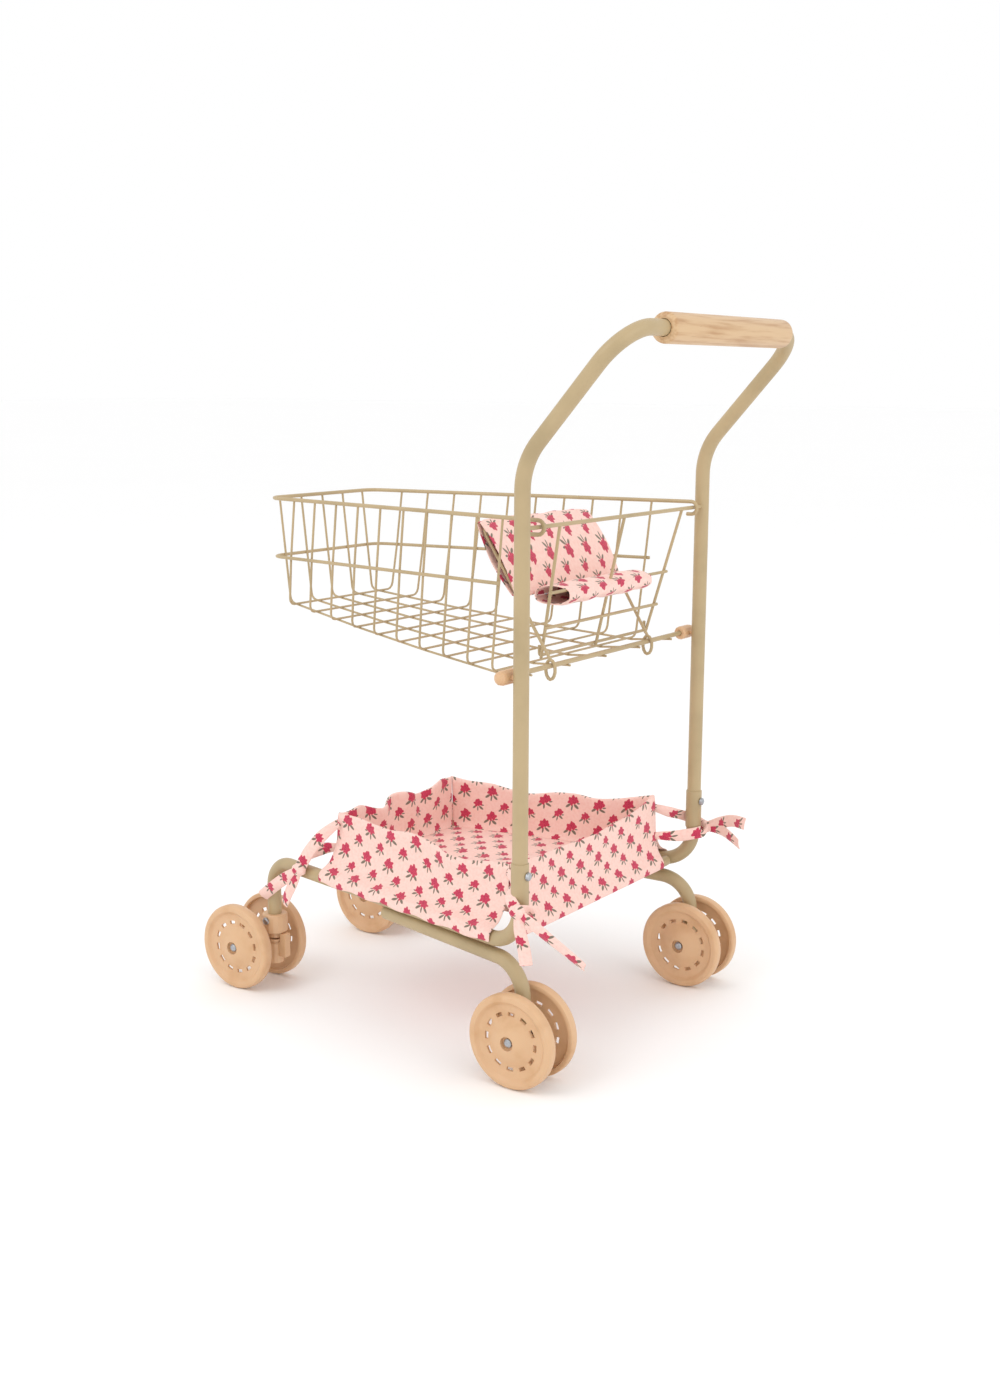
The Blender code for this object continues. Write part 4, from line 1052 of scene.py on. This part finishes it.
@dataclass
class ClothTray:
    """Cloth box between the side tubes: doubled walls, a creased floor and a hem over the tubes."""

    shop: PaintShop
    track: Track = field(default_factory=Track)
    inset: float = 20.0
    rear_y: float = 102.2
    front_y: float = -94.3
    floor_z: float = 119.6
    side_reach: float = 27.0
    end_reach: float = 11.0
    wall_wave: float = 2.2
    rear_wave: float = 1.6
    front_wave: float = 4.2
    fold_share: float = 1.2

    def climb(self, t: float, length: float) -> float:
        """Cloth coordinate that climbs both faces of a wall, so the print stands upright on each."""
        return min(t, self.fold_share - t) * length

    def section(self, reach: float, over_z: float, top: float) -> list[Vector]:
        """Section of one wall from its hem over the tube to the floor.

        Args:
            reach: how far out the hem stands from the wall.
            over_z: height of the cloth over the tube.
            top: height of the wall's top.

        Returns:
            Points (0, distance out, height) in millimetres.
        """
        rows = [
            # Hem, from its edge up over the tube
            (reach, over_z - 9.5), (reach + 0.3, over_z - 5.0), (reach - 2.0, over_z - 1.2),
            (reach * 0.74, over_z + 0.4), (reach * 0.5, over_z + 4.0), (reach * 0.26, over_z + 12.0),
            # Outer face, fold at the top and inner face down to the floor
            (2.0, over_z + 24.0), (0.4, top - 2.0), (-0.8, top + 0.6), (-2.2, top - 2.0),
            (-2.6, top - 14.0), (-3.4, self.floor_z + 12.0), (-5.0, self.floor_z + 2.5), (-8.0, self.floor_z),
        ]
        return evened([Vector((0.0, out, z)) for out, z in rows])

    def side_panel(self, side: Side) -> Cloth:
        """Wall and hem along one side tube."""
        k = side.value
        span = self.rear_y - self.front_y

        def top(s: float) -> float:
            """Height of the wall's top."""
            near = 164.0 if side is Side.LEFT else 160.0
            rear = 161.0 if side is Side.LEFT else 170.0
            lift = (rear - near) * s**5 + (165.0 - near) * (1 - s) ** 6
            if side is Side.LEFT:
                lift -= 8.0 * math.sin(math.pi * s**2.6) ** 2
            return near + lift + 1.8 * math.sin(15.0 * s + k) * math.sin(math.pi * s)

        def where(s: float, t: float) -> Vector:
            """Point of the cloth."""
            y = self.front_y + span * s
            rows = self.section(self.side_reach, self.track.z(y) + 7.2, top(s))
            point = along_curve(rows, t)
            high = min(1.0, max(0.0, (point.z - 124.0) / 30.0))
            ripple = self.wall_wave * math.sin(17.0 * s + 2.0 * k) + math.sin(41.0 * s)
            wave = ripple * high * math.sin(math.pi * s)
            hem = 0.9 * math.sin(33.0 * s + k) * (1.0 - high) * (1.0 if t < 0.18 else 0.0)
            slack = max(0.0, -point.y)
            y = self.front_y + slack + (span - 2 * slack) * s
            x = self.track.x(y) - self.inset + point.y + wave
            return Vector((k * x * MM, y * MM, (point.z + hem) * MM))

        length = curve_length(self.section(self.side_reach, 119.0, 164.0)) * MM
        return Cloth(56, 44, where, lambda s, t: (-k * s * span * MM, self.climb(t, length)))

    def end_panel(self, y: float, outward: float) -> Cloth:
        """Wall and hem along one cross tube.

        Args:
            y: place of the wall.
            outward: +1 for the rear wall and -1 for the front one.

        Returns:
            The patch.
        """
        half = self.track.x(y) - self.inset

        def top(s: float) -> float:
            """Height of the wall's top."""
            edge = abs(2 * s - 1)
            if outward > 0:
                return 157.0 + (4.0 if s > 0.5 else 13.0) * edge**3
            return 162.0 + 3.0 * edge**4 + 4.0 * math.sin(16.5 * s) * (1 - edge**4)

        def where(s: float, t: float) -> Vector:
            """Point of the cloth."""
            over = self.track.z(y) + 6.6
            point = along_curve(self.section(self.end_reach, over, top(s)), t)
            high = min(1.0, max(0.0, (point.z - 124.0) / 30.0))
            deep, turns = (self.rear_wave, 15.0) if outward > 0 else (self.front_wave, 25.0)
            wave = deep * math.sin(turns * s + 0.7) * high * math.sin(math.pi * s)
            slack = max(0.0, -point.y)
            x = (2 * s - 1) * (half - slack)
            return Vector((x * MM, (y + outward * (point.y + wave)) * MM, point.z * MM))

        length = curve_length(self.section(self.end_reach, 118.0, 162.0)) * MM
        return Cloth(56, 44, where, lambda s, t: (outward * (2 * s - 1) * half * MM, self.climb(t, length)))

    def floor(self) -> Cloth:
        """Floor, level with the tubes and softly creased."""
        slack = 7.6  # tucked under the last row of the walls
        front = self.front_y + slack
        rear = self.rear_y - slack

        def flat(s: float, t: float) -> tuple[float, float]:
            """Place on the flat cloth."""
            y = front + (rear - front) * t
            return ((2 * s - 1) * (self.track.x(y) - self.inset - slack) * MM, y * MM)

        def where(s: float, t: float) -> Vector:
            """Point of the cloth."""
            x, y = flat(s, t)
            edge = min(1.0, 6.0 * min(s, 1 - s, t, 1 - t))
            crease = 1.5 * math.sin(x / 0.021 + 1.0) * math.sin(y / 0.027) + 0.8 * math.sin((x + y) / 0.011)
            return Vector((x, y, (self.floor_z + edge * (crease - 0.4)) * MM))

        return Cloth(48, 48, where, flat)

    def build(self) -> int:
        """Sews the tray.

        Returns:
            How many pieces were made.
        """
        patches = [self.side_panel(side) for side in Side]
        patches += [self.end_panel(self.rear_y, 1.0), self.end_panel(self.front_y, -1.0), self.floor()]
        made = self.shop.finish(cloth_piece("sewn_tray", patches, 0.9), COTTON, "cloth_tray")
        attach(made, "frame")
        side = curve_length(self.section(self.side_reach, 119.0, 164.0))
        end = curve_length(self.section(self.end_reach, 118.0, 162.0))
        long = self.rear_y - self.front_y
        wide = self.track.x(self.rear_y) + self.track.x(self.front_y) - 2 * self.inset
        area = long * wide + 2 * side * long + 2 * end * wide
        flat = (wide + 2 * side, long + 2 * end)
        flat[0] * MM
        flat[1] * MM
        area * MM * MM
        return 1


@dataclass
class Ties:
    """Four knotted cotton tapes that hold the tray's corners to the frame."""

    shop: PaintShop
    width: float = 10.5

    def strip(self, points: Sequence[Sequence[float]], twist: float, start: float) -> tuple[Cloth, float]:
        """One length of tape.

        Args:
            points: its line, in millimetres.
            twist: turn of its face over its length, in radians.
            start: where it begins on the cloth, in metres.

        Returns:
            The patch and its length in metres.
        """
        line = [Vector(p) * MM for p in points]
        length = curve_length(line)

        def where(s: float, t: float) -> Vector:
            """Point of the tape."""
            point = along_curve(line, s)
            ahead = along_curve(line, min(1.0, s + 0.03)) - along_curve(line, max(0.0, s - 0.03))
            out = Vector((1.0, 0.0, 0.0))
            flat = ahead.cross(out).normalized()
            turn = twist * s
            across = flat * math.cos(turn) + flat.cross(ahead.normalized()) * math.sin(turn)
            pinch = 0.62 + 0.38 * min(1.0, s * 3.0)
            curl = out * (0.9 * MM * math.cos(math.pi * (t - 0.5) * 1.6))
            return point + across * ((t - 0.5) * self.width * pinch * MM) + curl

        return Cloth(22, 5, where, lambda s, t: (start + (t - 0.5) * self.width * MM, -s * length)), length

    def knot(self, name: str, centre: Vector) -> bpy.types.Object:
        """A soft wrapped knot.

        Args:
            name: the piece's name.
            centre: its place, in metres.

        Returns:
            The knot.
        """
        shape = bmesh.new()
        bmesh.ops.create_uvsphere(shape, u_segments=24, v_segments=16, radius=1.0)
        layer = shape.loops.layers.uv.new("cloth")
        for face in shape.faces:
            for loop in face.loops:
                loop[layer].uv = (loop.vert.co.y * 0.009 + 0.004, loop.vert.co.z * 0.008 + 0.003)
        for vert in shape.verts:
            p = vert.co.copy()
            groove = 1.0 - 0.16 * abs(math.cos(2.2 * p.y + 1.4 * p.z)) ** 6
            vert.co = centre + Vector((p.x * 4.2, p.y * 7.0, p.z * 6.0)) * MM * groove
        made = to_piece(name, shape)
        soft = made.modifiers.new("soft", "SUBSURF")
        soft.levels = soft.render_levels = 1
        self.shop.coat(made, COTTON)
        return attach(made, "frame")

    def tie(self, node: str, lines: list[tuple[list[tuple], float]], knot: Sequence[float]) -> None:
        """A tie that stands for one CAD node.

        Args:
            node: the CAD node.
            lines: each tape's line and twist.
            knot: the knot's place, in millimetres.
        """
        patches = []
        for i, (points, twist) in enumerate(lines):
            patch, length = self.strip(points, twist, 0.013 * i)
            patches.append(patch)
        made = self.shop.finish(cloth_piece(f"{node}_tape", patches, 0.8, weld=False), COTTON, node)
        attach(made, "frame")
        ball = self.knot(f"{node}_knot", Vector(knot) * MM)

    def build(self) -> int:
        """Ties the four corners.

        Returns:
            How many ties were made.
        """
        rear = (146.5, 133.0, 139.0)
        self.tie(
            "left_rear_tie",
            [
                ([(112, 100, 155), (122, 112, 153), (140, 121, 147), rear], 0.2),
                ([(108, 105, 134), (120, 122, 134), (134, 137, 137), rear], -0.2),
                ([rear, (148, 136, 126), (147, 139, 112), (146.5, 141, 99)], 0.35),
                ([rear, (148, 150, 131), (147, 170, 120), (146, 192, 108)], -0.5),
            ],
            rear,
        )
        far = (-146.5, 133.0, 138.0)
        self.tie(
            "right_rear_tie",
            [
                ([(-112, 100, 158), (-122, 112, 153), (-140, 121, 146), far], 0.2),
                ([(-108, 105, 134), (-120, 122, 134), (-134, 137, 137), far], -0.2),
                ([far, (-146, 148, 144), (-138, 164, 150), (-128, 181, 152)], 0.3),
                ([far, (-146, 148, 138), (-138, 162, 136), (-128, 176, 133)], -0.4),
            ],
            far,
        )
        for side in Side:
            k = side.value
            front = (108.5 * k, -114.5, 118.0)
            self.tie(
                f"{side.tag}_front_tie",
                [
                    ([(84 * k, -90, 158), (97 * k, -98, 148), (106 * k, -106, 134), front], 0.3),
                    ([(80 * k, -97, 134), (84 * k, -110, 131), (97 * k, -118, 126), front], -0.2),
                    ([front, (108 * k, -130, 108), (104 * k, -148, 96), (99 * k, -166, 83)], 0.4),
                    ([front, (108 * k, -122, 105), (106 * k, -130, 93), (104 * k, -136, 83)], -0.3),
                ],
                front,
            )
        return 4


@dataclass
class Studio:
    """Pale floor, soft lights and the camera."""

    lens: float = 42.26
    azimuth: float = 124.74
    elevation: float = 11.07
    roll: float = 0.24
    place: tuple[float, float, float] = (1.10362, 0.78067, 0.52385)

    def camera(self) -> None:
        """Sets the camera at its place, looking past the cart from its left rear."""
        data = bpy.data.cameras.new("camera")
        data.sensor_fit = "VERTICAL"
        data.sensor_height = 36.0
        data.lens = self.lens
        a = math.radians(self.azimuth)
        e = math.radians(self.elevation)
        r = math.radians(self.roll)
        back = Vector((math.sin(a) * math.cos(e), -math.cos(a) * math.cos(e), math.sin(e)))
        right = Vector((math.cos(a), math.sin(a), 0.0))
        up = back.cross(right)
        x = right * math.cos(r) + up * math.sin(r)
        y = up * math.cos(r) - right * math.sin(r)
        eye = bpy.data.objects.new("camera", data)
        eye.matrix_world = Matrix.Translation(self.place) @ Matrix((x, y, back)).transposed().to_4x4()
        bpy.context.scene.collection.objects.link(eye)
        bpy.context.scene.camera = eye

    def light(self, name: str, place: tuple[float, float, float], size: float, power: float) -> None:
        """Adds one soft square light aimed at the cart.

        Args:
            name: the light's name.
            place: where it stands, in metres.
            size: its side, in metres.
            power: its power, in watts.
        """
        data = bpy.data.lights.new(name, "AREA")
        data.size = size
        data.energy = power
        lamp = bpy.data.objects.new(name, data)
        lamp.location = place
        lamp.rotation_euler = (Vector((0.0, 0.0, 0.25)) - Vector(place)).to_track_quat("-Z", "Y").to_euler()
        bpy.context.scene.collection.objects.link(lamp)

    def floor(self) -> None:
        """Lays the plain pale floor."""
        shape = bmesh.new()
        bmesh.ops.create_grid(shape, x_segments=2, y_segments=2, size=30.0)
        made = to_piece("studio_floor", shape, outward=False)
        paper = bpy.data.materials.new("white_paper")
        paper.use_nodes = True
        tree = paper.node_tree
        shader = tree.nodes["Principled BSDF"]
        shader.inputs["Roughness"].default_value = 0.9
        shader.inputs["Specular IOR Level"].default_value = 0.1
        where = object_place(tree)
        tone = mixed(tree, noise(tree, where, 900.0), srgb("FFFFFF"), srgb("FEFEFE"))
        tree.links.new(tone, shader.inputs["Base Color"])
        made.data.materials.append(paper)

    def build(self) -> None:
        """Sets up the room."""
        self.camera()
        self.floor()
        world = bpy.data.worlds.new("studio")
        world.use_nodes = True
        sky = world.node_tree.nodes["Background"]
        sky.inputs["Color"].default_value = (1.0, 1.0, 1.0, 1.0)
        sky.inputs["Strength"].default_value = 1.0
        bpy.context.scene.world = world
        bpy.context.scene.view_settings.view_transform = "Standard"
        self.light("key", (1.6, -0.5, 1.9), 1.1, 9.0)
        self.light("fill", (0.2, 1.9, 1.3), 1.4, 6.0)


def main() -> None:
    """Builds the looks of the cart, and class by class."""
    logging.basicConfig(level=logging.INFO, format="%(name)s: %(message)s")
    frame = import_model()
    shop = PaintShop()
    nodes = frame["nodes"]
    Studio().build()
    LOG.info("studio: camera, floor and two lights")
    tubes = TubeFrame(shop, nodes)
    LOG.info("tube frame: %d pieces", tubes.build())
    tubes.dress()
    wheels = WheelSet(shop, nodes)
    LOG.info("wheels: %d pieces", wheels.build())
    wheels.dress()
    LOG.info("basket: %d nodes dressed", Basket(shop, nodes).dress())
    LOG.info("doll seat: %d pieces", DollSeat(shop).build())
    LOG.info("cloth tray: %d piece", ClothTray(shop).build())
    LOG.info("ties: %d pieces", Ties(shop).build())


if __name__ == "__main__":
    main()
